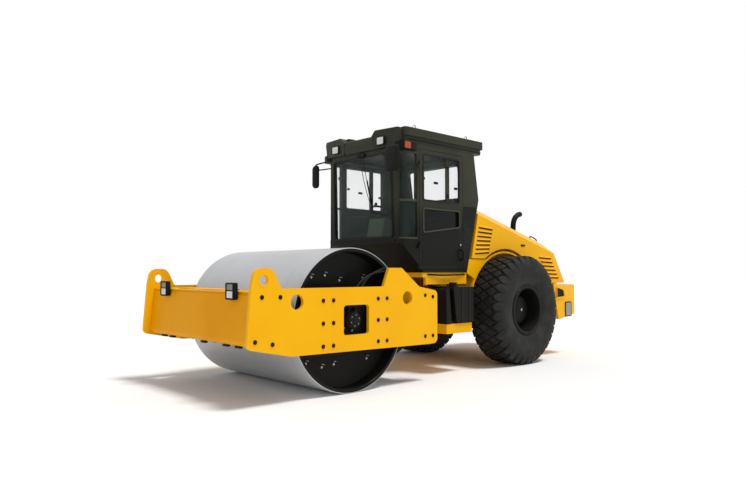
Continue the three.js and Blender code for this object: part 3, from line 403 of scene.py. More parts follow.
def lathe(profile, axis="y", centre=(0, 0, 0), sides=64):
    """A profile of (radius, station) turned about an axis: each point is
    centre + station * axis + radius * (cos a, sin a). A profile that starts on the axis
    is an open line from pole to pole, and any other closes on itself."""
    profile = np.asarray(profile, float)
    a = np.linspace(0, 2 * np.pi, sides, endpoint=False)[:, None]
    r, s = profile[None, :, 0], profile[None, :, 1]
    lines = {"x": (s + 0 * a, r * np.cos(a), r * np.sin(a)),
             "y": (r * np.cos(a), s + 0 * a, r * np.sin(a)),
             "z": (r * np.cos(a), r * np.sin(a), s + 0 * a)}[axis]
    points = np.stack(lines, -1).reshape(-1, 3) + centre
    poles = profile[0, 0] < 1e-6
    return Shape(points, [quads(sides, len(profile), True, not poles)])


def disc(r, a, b, axis, centre, sides=32, edge=0.0):
    """A round plug from station a to station b, its rims eased by an edge radius."""
    e = edge
    low, high = [(r, a)], [(r, b)]
    if e:
        low = [(r - e, a), (r - 0.3 * e, a + 0.3 * e), (r, a + e)]
        high = [(r, b - e), (r - 0.3 * e, b - 0.3 * e), (r - e, b)]
    return lathe([(0, a), *low, *high, (0, b)], axis, centre, sides)


def rounded(corners, steps=8):
    """Corners (u, v, radius) as an outline. A corner with a radius becomes an arc about
    the point one radius from both of its sides."""
    out = []
    for i, corner in enumerate(corners):
        p = np.array(corner[:2], float)
        r = corner[2] if len(corner) > 2 else 0
        if not r:
            out.append(p[None])
            continue
        back = np.array(corners[i - 1][:2], float) - p
        ahead = np.array(corners[(i + 1) % len(corners)][:2], float) - p
        back, ahead = back / np.linalg.norm(back), ahead / np.linalg.norm(ahead)
        half = math.acos(np.clip(back @ ahead, -1, 1)) / 2
        middle = (back + ahead) / np.linalg.norm(back + ahead)
        centre = p + middle * r / math.sin(half)
        start = p + back * r / math.tan(half) - centre
        end = p + ahead * r / math.tan(half) - centre
        turn = math.atan2(start[0] * end[1] - start[1] * end[0], start @ end)
        a = np.linspace(0, turn, steps + 1)
        out.append(np.stack([start[0] * np.cos(a) - start[1] * np.sin(a),
                             start[0] * np.sin(a) + start[1] * np.cos(a)], -1) + centre)
    return np.vstack(out)


def rect(u0, u1, v0, v1, r=0.0):
    """The corners of a rectangle, each with the same radius."""
    return [(u0, v0, r), (u1, v0, r), (u1, v1, r), (u0, v1, r)]


def across_middle(half):
    """Corners on the left side, then their mirror images in the opposite order."""
    return half + [(u, -v, *r) for u, v, *r in half[::-1]]


def doubled(half):
    """A profile of (radius, station) from its half at the positive stations."""
    return [(r, -t) for r, t in half[::-1]] + half


def circle(u, v, r, sides=40):
    a = np.linspace(0, 2 * np.pi, sides, endpoint=False)
    return np.stack([u + r * np.cos(a), v + r * np.sin(a)], -1)


def around(count, r, x, y, z, start=0.0):
    """Places spaced evenly on a circle about a line along Y, the first at an angle start."""
    return [(x + r * math.cos(a), y, z + r * math.sin(a))
            for a in start + 2 * np.pi * np.arange(count) / count]


def standing(outline, plane, t):
    """Outline points (u, v) at a station t: side is (x, z), plan is (x, y), front is (y, z)."""
    u, v = np.asarray(outline)[:, 0], np.asarray(outline)[:, 1]
    t = np.full(len(u), float(t))
    return np.stack({"side": (u, t, v), "plan": (u, v, t), "front": (t, u, v)}[plane], -1)


def extrude(outline, plane, a, b, holes=()):
    """An outline, with any holes, carried from station a to station b."""
    loops = [np.asarray(outline, float)] + [np.asarray(h, float) for h in holes]
    if not holes:
        return loft([standing(loops[0], plane, a), standing(loops[0], plane, b)])
    flat = [[(u, v, 0.0) for u, v in loop] for loop in loops]
    caps = np.array(tessellate_polygon(flat))
    count = sum(len(loop) for loop in loops)
    every = np.vstack(loops)
    points = np.vstack([standing(every, plane, a), standing(every, plane, b)])
    faces, start = [caps[:, ::-1], caps + count], 0
    for loop in loops:
        k = np.arange(len(loop))
        n = (k + 1) % len(loop)
        faces.append(np.stack([k, n, n + count, k + count], -1) + start)
        start += len(loop)
    return Shape(points, faces)


def slab(corners, plane, a, b, steps=6):
    """Rounded corners carried from station a to station b."""
    return extrude(rounded(corners, steps), plane, a, b)


def block(x0, x1, y0, y1, z0, z1):
    return extrude(rect(x0, x1, y0, y1), "plan", z0, z1)


def pad(plane, u0, u1, v0, v1, a, b, r=0.02):
    """A rectangular plate with rounded corners between two stations."""
    return slab(rect(u0, u1, v0, v1, r), plane, a, b, 5)


def smooth_path(points, per=8):
    """A Catmull-Rom line through the points: each span is a cubic of its four neighbours."""
    p = np.asarray(points, float)
    p = np.vstack([2 * p[0] - p[1], p, 2 * p[-1] - p[-2]])
    t = np.linspace(0, 1, per, endpoint=False)[None, :, None]
    a, b, c, d = (p[k:len(p) - 3 + k][:, None] for k in range(4))
    body = 0.5 * (2 * b + (c - a) * t + (2 * a - 5 * b + 4 * c - d) * t ** 2
                  + (3 * b - a - 3 * c + d) * t ** 3)
    return np.vstack([body.reshape(-1, p.shape[1]), p[-2][None]])


def frames(path, ring=False):
    """Two unit vectors across a path at each station, both square to its direction."""
    ahead = (np.roll(path, -1, 0) - np.roll(path, 1, 0)) if ring else np.gradient(path, axis=0)
    ahead /= np.linalg.norm(ahead, axis=1, keepdims=True)
    spread = np.abs(ahead).mean(0)
    up = np.eye(3)[int(np.argmin(spread))]
    side = np.cross(ahead, up)
    side /= np.linalg.norm(side, axis=1, keepdims=True)
    return side, np.cross(side, ahead)


def swept(path, section, ring=False):
    """A section of (side, up) points carried square along a path."""
    path = np.asarray(path, float)
    side, up = frames(path, ring)
    s = np.asarray(section, float)
    return loft(path[:, None] + side[:, None] * s[None, :, :1] + up[:, None] * s[None, :, 1:], ring)


def tube(points, r, sides=14, per=8, ring=False):
    """A round bar along a smooth line through the points."""
    path = smooth_path(points, per) if per else np.asarray(points, float)
    return swept(path, circle(0, 0, r, sides), ring)


def band(corners, plane, station, width=0.020, depth=0.014, steps=6):
    """A seal or rim: a strip of rectangular section that follows rounded corners at a station."""
    path = standing(rounded(corners, steps), plane, station)
    w, d = width / 2, depth / 2
    return swept(path, [(-w, -d), (w, -d), (w, d), (-w, d)], ring=True)


def bolt(at, axis, r=0.016, out=1):
    """A hexagon head on a washer, standing out along an axis."""
    h = r * 0.62 * out
    head = lathe([(0, 0.2 * h), (r, 0.2 * h), (r, 0.85 * h), (0.86 * r, 1.1 * h), (0, 1.1 * h)],
                 axis, at, 6)
    washer = lathe([(0, 0), (1.35 * r, 0), (1.35 * r, 0.2 * h), (0, 0.2 * h)], axis, at, 16)
    return head + washer


def bolts(places, axis, r=0.016, out=1):
    return total(bolt(at, axis, r, out) for at in places)


# ------------------------------------------------------------------ pieces
def dressed(mesh, name, body, finish, bevel, segments, sharp, replaces):
    """The mesh as an object with its finish, eased edges and body."""
    obj = bpy.data.objects.new(name, mesh)
    bpy.context.scene.collection.objects.link(obj)
    mesh.materials.clear()
    mesh.materials.append(finish.material)
    mesh.shade_smooth()
    mesh.set_sharp_from_angle(angle=math.radians(sharp))
    if bevel:
        ease = obj.modifiers.new("eased_edges", "BEVEL")
        ease.width, ease.segments = bevel, segments
        ease.limit_method, ease.angle_limit = "ANGLE", math.radians(30)
        ease.harden_normals = True
    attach(obj, body)
    if replaces:
        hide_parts(*replaces)
    return obj


def piece(name, shape, finish, bevel=0.0, body="chassis", segments=2, sharp=35, replaces=()):
    """A shape as one mesh in the frame, its seams joined and its faces turned outward."""
    mesh = bpy.data.meshes.new(name)
    faces = [face for group in shape.faces for face in group.tolist()]
    mesh.from_pydata((shape.points + (AXLE_X, 0, 0)).tolist(), [], faces)
    work = bmesh.new()
    work.from_mesh(mesh)
    bmesh.ops.remove_doubles(work, verts=work.verts, dist=1e-5)
    bmesh.ops.recalc_face_normals(work, faces=work.faces)
    work.to_mesh(mesh)
    work.free()
    return dressed(mesh, name, body, finish, bevel, segments, sharp, replaces)


def pair(name, shape, finish, bevel=0.0, body="chassis", replaces="", **edges):
    """The left side's shape and its mirror image, one piece each. {} stands for the side."""
    for side, form in (("left", shape), ("right", shape.mirrored())):
        piece(name.format(side), form, finish, bevel, body.format(side),
              replaces=(replaces.format(side),) if replaces else (), **edges)


def refined(node, finish, bevel, segments=2, reshape=None):
    """The CAD node's own form with its flat faces made whole and its edges eased."""
    mesh = frame["nodes"][node].data.copy()
    mesh.name = node + "_form"
    work = bmesh.new()
    work.from_mesh(mesh)
    bmesh.ops.remove_doubles(work, verts=work.verts, dist=2e-5)
    bmesh.ops.dissolve_limit(work, angle_limit=math.radians(1), verts=work.verts, edges=work.edges)
    work.to_mesh(mesh)
    work.free()
    if "custom_normal" in mesh.attributes:
        mesh.attributes.remove(mesh.attributes["custom_normal"])
    if reshape:
        points = np.zeros(len(mesh.vertices) * 3)
        mesh.vertices.foreach_get("co", points)
        points = reshape(points.reshape(-1, 3) - (AXLE_X, 0, 0)) + (AXLE_X, 0, 0)
        mesh.vertices.foreach_set("co", points.ravel())
        mesh.update()
    dressed(mesh, node + "_form", BODY_OF[node], finish, bevel, segments, 32, (node,))


# ------------------------------------------------------------------ drum
def drum_pieces():
    """The steel face with its lips, and a dark disc with bolts and fittings at each end."""
    r, h, axle, out = DRUM_R, DRUM_HALF, (0, 0, DRUM_Z), 0.900
    wall, lip = r - 0.0385, r - 0.0085
    shell = doubled([(wall, h - 0.004), (lip, h - 0.004), (lip, h), (r - 0.0015, h - 0.002),
                     (r, h - 0.007)])
    piece("drum_face", lathe(shell, "y", axle, 192), STEEL, body="drum", replaces=("drum_shell",))
    end = lathe([(0.1045, out), (0.118, out + 0.012), (0.2, out + 0.012), (0.212, out),
                 (wall - 0.028, out), (wall - 0.012, out + 0.006), (wall - 0.004, out + 0.02),
                 (wall - 0.004, h - 0.006), (wall, h - 0.001), (lip - 0.0005, h - 0.001),
                 (lip - 0.0005, h - 0.0035), (wall - 0.0005, h - 0.0035), (wall - 0.0005, out - 0.038),
                 (0.1045, out - 0.038)], "y", axle, 128)
    hub = bolts(around(12, 0.165, 0, out + 0.012, DRUM_Z, 0.13), "y", 0.013)
    pair("drum_end_{}", end + hub, BLACK, body="drum")
    lugs = [(u, DRUM_Z + v) for u, v in (
        (0.405, 0.478), (0.229, 0.496), (0.031, 0.442), (0.266, -0.456), (0.106, -0.44),
        (0.473, -0.401), (-0.30, 0.47), (-0.36, -0.42))]
    hooks = total(tube([(x - 0.018, out, z), (x - 0.016, out + 0.018, z),
                        (x + 0.016, out + 0.018, z + 0.008), (x + 0.018, out, z + 0.008)], 0.005, 8, 5)
                  for x, z in lugs)
    caps = bolts([(x + 0.008, out, z - 0.026) for x, z in lugs], "y", 0.010)
    pair("drum_fittings_{}", hooks + caps, ZINC, body="drum")


# ------------------------------------------------------------------ front yoke
EAR = (1.140, 1.190, 1.303)  # the front lifting eye's x and z, and the ear's top


def side_plate():
    top, low, (x, eye, ear) = 1.110, 0.436, EAR
    outline = rounded([
        (1.320, low + 0.124, 0.06), (x + 0.135, top + 0.015, 0.02), (x + 0.100, ear, 0.095),
        (x - 0.100, ear, 0.095), (x - 0.195, top, 0.03), (-0.390, top, 0.01),
        (-0.473, ear + 0.010, 0.02), (-0.667, ear + 0.010, 0.02), (-0.951, top - 0.010, 0.02),
        (-1.257, top - 0.062, 0.06), (-1.257, low + 0.004, 0.06), (-1.100, low, 0.03),
        (0.830, low + 0.024, 0.05)], 10)
    holes = [rounded(rect(-0.175, 0.175, 0.616, 0.925, 0.035), 8), circle(0.760, 0.977, 0.075, 48),
             circle(-0.760, 0.977, 0.075, 48), circle(x, eye, 0.047, 40)]
    pair("side_plate_{}_form", extrude(outline, "side", PLATE_INNER, PLATE_FACE, holes), YELLOW, 0.004,
         "front_yoke", "side_plate_{}", segments=3)
    heads = [(u, DRUM_Z - 0.009 + v) for u in (-0.440, -0.309, 0.309, 0.440) for v in (-0.228, 0, 0.228)]
    heads += [(1.159, 1.033), (0.955, 1.029), (1.230, 0.625), (1.040, 0.590), (-1.05, 1.0),
              (-1.18, 0.98), (-1.05, 0.53), (-1.18, 0.53)]
    pair("plate_bolts_{}", bolts([(u, PLATE_FACE, v) for u, v in heads], "y", 0.0165), CAST,
         body="front_yoke")
    low, high = PLATE_FACE - 0.004, PLATE_FACE + 0.003
    bush = lathe([(0.048, low), (0.052, high), (0.062, high), (0.064, low)], "y", (x, 0, eye), 40)
    pair("ear_bush_{}", bush, YELLOW, body="front_yoke")


def front_beam():
    """A bent beam of channel section, with ribs, a strip on its top and bolts below."""
    top, low, wall, half, yoke = 1.085, 0.560, 0.025, PLATE_INNER - 0.0004, "front_yoke"
    section = [(1.000, top), (1.195, top, 0.055), (1.242, low, 0.055), (1.020, low),
               (1.020, low + wall), (1.242 - wall, low + wall, 0.03), (1.195 - wall, top - wall, 0.03),
               (1.000, top - wall)]
    # The beam's face takes the darker copy of the yellow enamel: painted shade.
    piece("front_beam_form", slab(section, "side", -half, half, 8), BEAM_SHADED_YELLOW, 0.003, yoke,
          replaces=("front_beam",))
    rib = [(1.03, low + wall), (1.21, low + wall), (1.165, top - wall), (1.03, top - wall), (1.10, 0.82)]
    piece("beam_ribs", total(extrude(rib, "side", y - 0.008, y + 0.008) for y in
                             (-0.8, -0.4, 0.0, 0.4, 0.8)), YELLOW, 0.002, yoke)
    under = bolts([(1.14, y, low) for y in np.linspace(-0.95, 0.95, 9)], "z", 0.018, -1)
    clips = total(block(1.17, 1.205, y - 0.045, y + 0.045, low - 0.022, low - 0.001)
                  for y in (-0.82, -0.62, 0.1, 0.55, 0.78))
    piece("beam_underside_bolts", under + clips, BLACK, 0.002, yoke)
    strip = block(0.985, 1.15, -0.56, 0.56, top + 0.001, top + 0.007)
    fold = swept([(1.1855, y, top - 0.0085) for y in np.linspace(-half, half, 3)],
                 circle(0, 0, 0.0085, 16))
    piece("beam_top_strip", strip + fold, YELLOW, 0.002, yoke)


def front_lamp():
    """A lamp on the front beam: case, rim, bar and arm, with two glasses one above the other."""
    y, low, high, yoke = 0.720, 1.000, 1.165, "front_yoke"
    case = slab(rect(y - 0.072, y + 0.072, low, high, 0.014), "front", 1.2065, 1.254, 5)
    rim = band(rect(y - 0.066, y + 0.066, low + 0.006, high - 0.006, 0.012), "front", 1.256, 0.012,
               0.012, 5)
    bar = block(1.250, 1.2585, y - 0.06, y + 0.06, 1.085, 1.091)
    arm = block(1.165, 1.2065, y - 0.03, y + 0.03, 1.093, 1.101)
    pair("lamp_case_{}", case + rim + bar + arm, PLASTIC, 0.002, yoke, "front_lamp_{}")
    for label, z0, z1, glass in (("low", 1.016, 1.083, CLEAR_LENS), ("high", 1.093, 1.150, SMOKE_LENS)):
        pair(f"lamp_glass_{label}_{{}}", pad("front", y - 0.056, y + 0.056, z0, z1, 1.250, 1.2565,
                                             0.008), glass, 0.002, yoke)


def drum_support():
    """The drum's fixed support: plate, journal, motor, six rubber buffers and two pipes."""
    z, axle, yoke = DRUM_Z, (0, 0, DRUM_Z), "front_yoke"
    holes = [circle(x, z + dz, 0.03, 24) for x in (-0.2, 0.2) for dz in (-0.2, 0.2)]
    plate = extrude(rounded(rect(-0.45, 0.45, z - 0.30, z + 0.30, 0.06), 8), "side", 0.985, 1.015, holes)
    journal = disc(0.0995, 0.841, 0.986, "y", axle, 64)
    pair("drum_support_{}_plate", plate + journal, CAST, 0.003, yoke, "drum_support_{}")
    motor = lathe([(0, 1.0155), (0.125, 1.0155), (0.125, 1.032), (0.105, 1.036), (0.098, 1.060),
                   (0.092, 1.088), (0.079, 1.092), (0.079, 1.112), (0.070, 1.118), (0.030, 1.120),
                   (0.028, 1.124), (0, 1.124)], "y", axle, 48)
    ports = total(disc(0.017, z + 0.075, z + 0.125, "z", (x, 1.06, 0), 16, 0.003) for x in (0.045, -0.045))
    pair("drum_motor_{}", motor + ports, BLACK, body=yoke)
    pair("motor_bolts_{}", bolts(around(6, 0.113, 0, 1.032, z, 0.3), "y", 0.009)
         + bolts(around(6, 0.058, 0, 1.116, z, 0.7), "y", 0.006), ZINC, body=yoke)
    waist = [(0, 1.0155), (0.060, 1.0155), (0.060, 1.024), (0.052, 1.030), (0.049, 1.057),
             (0.052, 1.084), (0.060, 1.090), (0.060, 1.0992), (0, 1.0992)]
    pair("rubber_buffers_{}", total(lathe(waist, "y", (x, 0, z + dz), 32) for x in (-0.375, 0.375)
                                    for dz in (-0.228, 0, 0.228)), SEAL, body=yoke)
    for number, start, lift, across in ((1, 0.045, 0.0, 0.0), (2, -0.045, 0.035, 0.012)):
        line = tube([(start, 1.060, z + 0.12), (start - 0.03, 1.058, z + 0.24),
                     (start - 0.18, 1.050, z + 0.40 + lift), (start - 0.36, 1.052, z + 0.49 + lift),
                     (-0.52 + across, 1.083, z + 0.505 + lift), (-0.70 + across, 1.083, z + 0.42 + lift),
                     (-0.83, 1.07 - across, 1.10), (-0.90, 1.04 - across, 1.063)], 0.0115, 12, 10)
        pair(f"hydraulic_pipe_{{}}_{number}", line, SEAL, body=yoke)


# ------------------------------------------------------------------ rear frame and axle
def steering_cylinder():
    """A barrel and a rod along X, then laid on the line from the frame's eye to the knuckle's."""
    base, eye = np.array((-2.300, 0.260)), np.array((-1.510, 0.215))
    reach = float(np.linalg.norm(eye - base))
    angle = math.degrees(math.atan2(*(eye - base)[::-1]))
    bore, hole = 0.0255, 0.0258
    barrel = lathe([(bore, 0.152), (0.044, 0.046), (0.0485, 0.06), (0.0485, 0.45), (0.0495, 0.455),
                    (0.0495, 0.512), (0.046, 0.52), (bore, 0.52)], "x", (0, 0, 0), 48)
    knob = lathe(doubled([(0.0495, 0.022), (0.048, 0.0248), (hole, 0.0248)]), "z", (0, 0, 0), 40)
    port = disc(0.014, 0.04, 0.072, "z", (0.40, 0, 0), 12, 0.002)
    shaft = disc(0.0247, 0.322, reach - 0.03, "x", (0, 0, 0), 40, 0.002)
    end = lathe([(0, -0.0248), (0.043, -0.0248), (0.0445, -0.022), (0.0445, 0.022),
                 (0.043, 0.0248), (0.025, 0.0248), (0.025, 0.037), (0.021, 0.0398), (0, 0.0398)],
                "z", (reach, 0, 0), 40)
    for node, body, shape, finish in (
            ("steering_barrel_{}", "cylinder_{}", barrel + knob + port, YELLOW),
            ("steering_rod_{}", "rod_{}", shaft + end, CHROME)):
        pair(node + "_form", shape.turned("z", angle).moved(*base, 0.760), finish, body=body,
             replaces=node)


def axle_form():
    a = np.linspace(-1, 1, 17) * math.acos(0.11 / 0.19)
    bulge = np.stack([0.19 * np.cos(a), 1.4 * 0.19 * np.sin(a)], -1)
    arm = [(0.11, 0.512), (0.17, 0.552), (0.17, 0.597), (0.168, 0.5995), (0, 0.5995)]
    profile = np.vstack([[(r, -t) for r, t in arm[::-1]], bulge, arm])
    seam = lathe([(0.185, -0.012), (0.205, -0.012), (0.207, 0), (0.205, 0.012), (0.185, 0.012)],
                 "y", (WHEEL_X, 0, TYRE_R), 48)
    piece("rear_axle_form", lathe(profile, "y", (WHEEL_X, 0, TYRE_R), 64) + seam, CAST,
          replaces=("rear_axle",))


def engine():
    """A diesel on the frame rails: crankcase with ribs, heads, covers, fan cowl and cooler."""
    z0 = 1.0008
    ribs = both(total(block(x - 0.012, x + 0.012, 0.24, 0.262, z0 + 0.02, 1.215)
                      for x in np.linspace(-3.66, -3.08, 7)))
    pump = both(disc(0.055, -2.99, -2.955, "x", (0, 0.12, 1.12), 24, 0.005))
    bell = disc(0.20, -3.02, -2.985, "x", (0, 0, 1.205), 40, 0.006)
    case = block(-3.72, -3.02, -0.24, 0.24, z0, 1.235) + block(-3.70, -3.04, -0.15, 0.15, 1.236, 1.315)
    piece("engine_crankcase", case + ribs + pump + bell, CAST, 0.005, replaces=("engine_block",))
    covers = total(pad("plan", x - 0.10, x + 0.10, -0.10, 0.10, 1.316, 1.372, 0.03)
                   for x in (-3.59, -3.37, -3.15))
    piece("engine_rocker_covers", covers, BLACK, 0.008, segments=3)
    fan = disc(0.19, -3.80, -3.735, "x", (0, 0, 1.225), 48, 0.008)
    cooler = block(-3.99, -3.88, -0.34, 0.34, z0, 1.43)
    fins = total(block(-3.8795, -3.872, -0.33, 0.33, z, z + 0.006) for z in np.arange(1.02, 1.41, 0.016))
    piece("engine_cooler", cooler + fins + fan, BLACK, 0.003)
    pipes = both(tube([(-3.10, 0.15, 1.28), (-3.12, 0.23, 1.30), (-3.4, 0.27, 1.31),
                       (-3.75, 0.26, 1.33), (-3.87, 0.22, 1.36)], 0.026, 14, 8))
    piece("engine_pipes", pipes, ZINC)
    filters = both(disc(0.052, 1.03, 1.20, "z", (-3.30, 0.315, 0), 32, 0.008)
                   + disc(0.045, 1.03, 1.18, "z", (-3.45, 0.312, 0), 32, 0.008))
    piece("engine_filters", filters, YELLOW)


def bumper_parts():
    def pull_in(p):
        """The rear face stands 12 mm further in, so that the lamps and plate fit the box."""
        return np.stack([np.where(p[:, 0] < -4.80, p[:, 0] + 0.012, p[:, 0]), p[:, 1], p[:, 2]], -1)

    refined("rear_bumper", YELLOW, 0.008, 3, reshape=pull_in)
    y = 0.860
    pair("side_lamp_rim_{}", band(rect(-4.690, -4.530, 0.585, 0.800, 0.02), "side", y + 0.006, 0.012,
                                  0.012, 5), PLASTIC)
    pair("side_lamp_{}", pad("side", -4.684, -4.536, 0.591, 0.794, y + 0.0005, y + 0.010, 0.015),
         GREY_LENS, 0.002)
    grip = [(-4.277, 1.042, 0.02), (-4.474, 0.993, 0.05), (-4.501, 0.884, 0.03), (-4.274, 0.875, 0.02)]
    pair("step_rim_{}", band(grip, "side", y + 0.008, 0.016, 0.022), YELLOW, 0.003)
    pair("step_well_{}", slab(grip, "side", y + 0.0005, y + 0.002), BLACK)
    for name, side in SIDES:
        for label, y0, y1, glass in (("lamp", -0.10, 0.0, RED_LENS), ("signal", 0.006, 0.09, ORANGE_LENS)):
            piece(f"tail_{label}_{name}", pad("front", side * 0.62 + y0, side * 0.62 + y1, 0.90, 0.985,
                                              -4.8995, -4.8885, 0.012), glass, 0.002)
    tow = pad("front", -0.13, 0.13, 0.66, 0.86, -4.8995, -4.885, 0.03)
    heads = bolts([(-4.8935, y, z) for y in (-0.1, 0.1) for z in (0.69, 0.83)], "x", 0.008, -1)
    piece("tow_plate", tow + heads, BLACK, 0.003)


def tank_and_platform():
    """The side tanks with their step treads and straps, and the cab's platform on mounts."""
    for name, _ in SIDES:
        refined(f"side_tank_{name}", BLACK, 0.006)
    treads = total(block(x, x + 0.02, 0.50, 0.90, 1.0802, 1.0842) for x in (-2.12, -2.07, -2.02, -1.97))
    pair("step_tread_{}", treads, ZINC)
    straps = total(extrude(rect(x - 0.02, x + 0.02, 0.640, 1.070), "side", 0.9702, 0.9745)
                   for x in (-2.06, -1.92))
    pair("tank_straps_{}", straps, CAST, 0.001)
    refined("cab_platform", YELLOW, 0.005)
    mount = lathe([(0, 1.000), (0.055, 1.000), (0.055, 1.02), (0.030, 1.03), (0.030, 1.17),
                   (0.052, 1.18), (0.052, 1.1995), (0, 1.1995)], "z", (-1.72, 0.60, 0), 28)
    piece("cab_mounts", both(mount), SEAL)
    rail = both(tube([(-2.24, 0.745, 1.235), (-2.0, 0.762, 1.228), (-1.75, 0.762, 1.226),
                      (-1.52, 0.745, 1.235)], 0.010, 10, 8))
    piece("platform_edge_pipe", rail, BLACK)


# ------------------------------------------------------------------ wheels
LUGS = 34


def tread_height(s, a):
    """How far the tread stands above its grooves at a width s (-1 to 1) and an angle a:
    two crossing sets of slanted grooves leave diamond blocks, and a shallow notch runs
    round between the outer blocks and the middle."""
    first, second = (np.abs(np.sin(0.5 * (LUGS * a + lean * s))) for lean in (6.8, -6.8))
    width = 0.34 - 0.10 * np.abs(s)
    blocks = np.clip((np.minimum(first, second) - width) / 0.10 + 0.5, 0, 1)
    ring = np.clip((np.abs(np.abs(s) - 0.62) - 0.015) / 0.02, 0, 1)
    return blocks * (0.5 + 0.5 * ring)


def tyre():
    """A grid round the wheel: the section is shoulder, side wall and bead, and the tread
    adds its height over the crown and down the shoulders."""
    r, half, turns = TYRE_R, TYRE_HALF, 680
    crown = np.linspace(-1, 1, 71)
    over = np.clip(np.abs(crown) - 0.72, 0, None) / 0.28
    radius = r - 0.022 - 0.012 * crown ** 2 - 0.066 * over ** 2.2
    wall = np.array([(-half + 0.002, r - 0.125), (-half, r - 0.17), (-half + 0.001, r - 0.23),
                     (-half + 0.012, r - 0.29), (-half + 0.028, r - 0.34), (-half + 0.046, 0.352),
                     (-half + 0.062, 0.335), (-half + 0.072, 0.3185), (-0.16, 0.3185)])
    first, last = len(wall), len(wall) + len(crown)
    across = np.concatenate([wall[::-1, 0], crown * (half - 0.012), -wall[:, 0]])
    down = np.concatenate([wall[::-1, 1], radius, wall[:, 1]])
    a = np.linspace(0, 2 * np.pi, turns, endpoint=False)[:, None]
    lift = np.zeros((turns, len(across)))
    lift[:, first:last] = tread_height(crown[None, :], a) * (0.034 - 0.010 * over[None, :])
    lug = np.clip((np.abs(np.sin(0.5 * (LUGS * a + 6.8))) - 0.45) / 0.12, 0, 1)
    for k, height in enumerate((0.0088, 0.0040)):
        lift[:, [first - 1 - k, last + k]] = lug * height
    rr = np.minimum(down[None, :] + lift, r - 0.0002)
    points = np.stack([WHEEL_X + rr * np.cos(a), across[None, :] + 0 * a + TYRE_Y,
                       TYRE_R + rr * np.sin(a)], -1)
    shape = Shape(points.reshape(-1, 3), [quads(turns, len(across), True, True)])
    pair("tyre_{}_tread", shape, RUBBER, body="wheel_{}", replaces="tyre_{}", sharp=42)


def rim():
    c, wheel = (WHEEL_X, TYRE_Y, TYRE_R), "wheel_{}"
    dish = lathe([(0, -0.2695), (0.169, -0.2695), (0.170, -0.0705), (0.288, -0.0705), (0.290, -0.213),
                  (0.300, -0.2215), (0.340, -0.2215), (0.345, -0.214), (0.3175, -0.202),
                  (0.3175, 0.202), (0.345, 0.214), (0.340, 0.2215), (0.300, 0.2215), (0.292, 0.205),
                  (0.286, 0.12), (0.276, 0.02), (0.262, -0.025), (0.240, -0.036), (0.196, -0.038),
                  (0.190, -0.030), (0.188, 0.070), (0.176, 0.086), (0.120, 0.094), (0.060, 0.108),
                  (0.052, 0.1095), (0, 0.1098)], "y", c, 96)
    pair("rim_{}_form", dish, BLACK, body=wheel, replaces="rim_{}", sharp=30)
    nuts = bolts(around(12, 0.222, WHEEL_X, TYRE_Y - 0.038, TYRE_R), "y", 0.015)
    hub = bolts(around(6, 0.145, WHEEL_X, TYRE_Y + 0.090, TYRE_R, 0.2), "y", 0.010)
    pair("wheel_nuts_{}", nuts + hub, CAST, body=wheel)
    # The plug's eased rims run along +Y on both sides, so it isn't a mirror image.
    for name, side in SIDES:
        plug = disc(0.020, side * (TYRE_Y + 0.1095), side * (TYRE_Y + 0.122), "y", (WHEEL_X, 0, TYRE_R),
                    20, 0.003)
        piece(f"wheel_plug_{name}", plug, ZINC, body=f"wheel_{name}")


# ------------------------------------------------------------------ hood
def louvre(front, rear, height=0.030):
    """A pressed louvre, and under it a thin sheet painted in shade for its slot: the section leaves
    the panel at its top edge, stands out towards its lower edge, and turns back over the slot; it
    tapers into the panel at both ends."""
    t = np.linspace(0, 1, 15)
    swell = np.clip(np.minimum(t, 1 - t) / 0.09, 0, 1)
    swell = np.sqrt(1 - (1 - swell) ** 2)
    line = front + (rear - front) * t[:, None]
    section = np.array([(0.75, 0.0), (0.5, 0.45), (0.2, 0.85), (0.02, 1.0), (-0.03, 0.9),
                        (0.15, 0.6), (0.45, 0.25), (0.62, 0.0)])
    up = section[None, :, 0] * height
    out = section[None, :, 1] * 0.013 * swell[:, None] + 0.0002
    lip = loft(np.stack([line[:, None, 0] + 0 * up, SIDE_FACE + out, line[:, None, 1] + up + 0 * out], -1))
    # The slot is a thin sheet just off the side face, painted in shade.
    low, high = np.array((0, -0.72 * height)), np.array((0, 0.1 * height))
    return lip, extrude([front + low, rear + low, rear + high, front + high], "side", 0.7501, 0.7509)


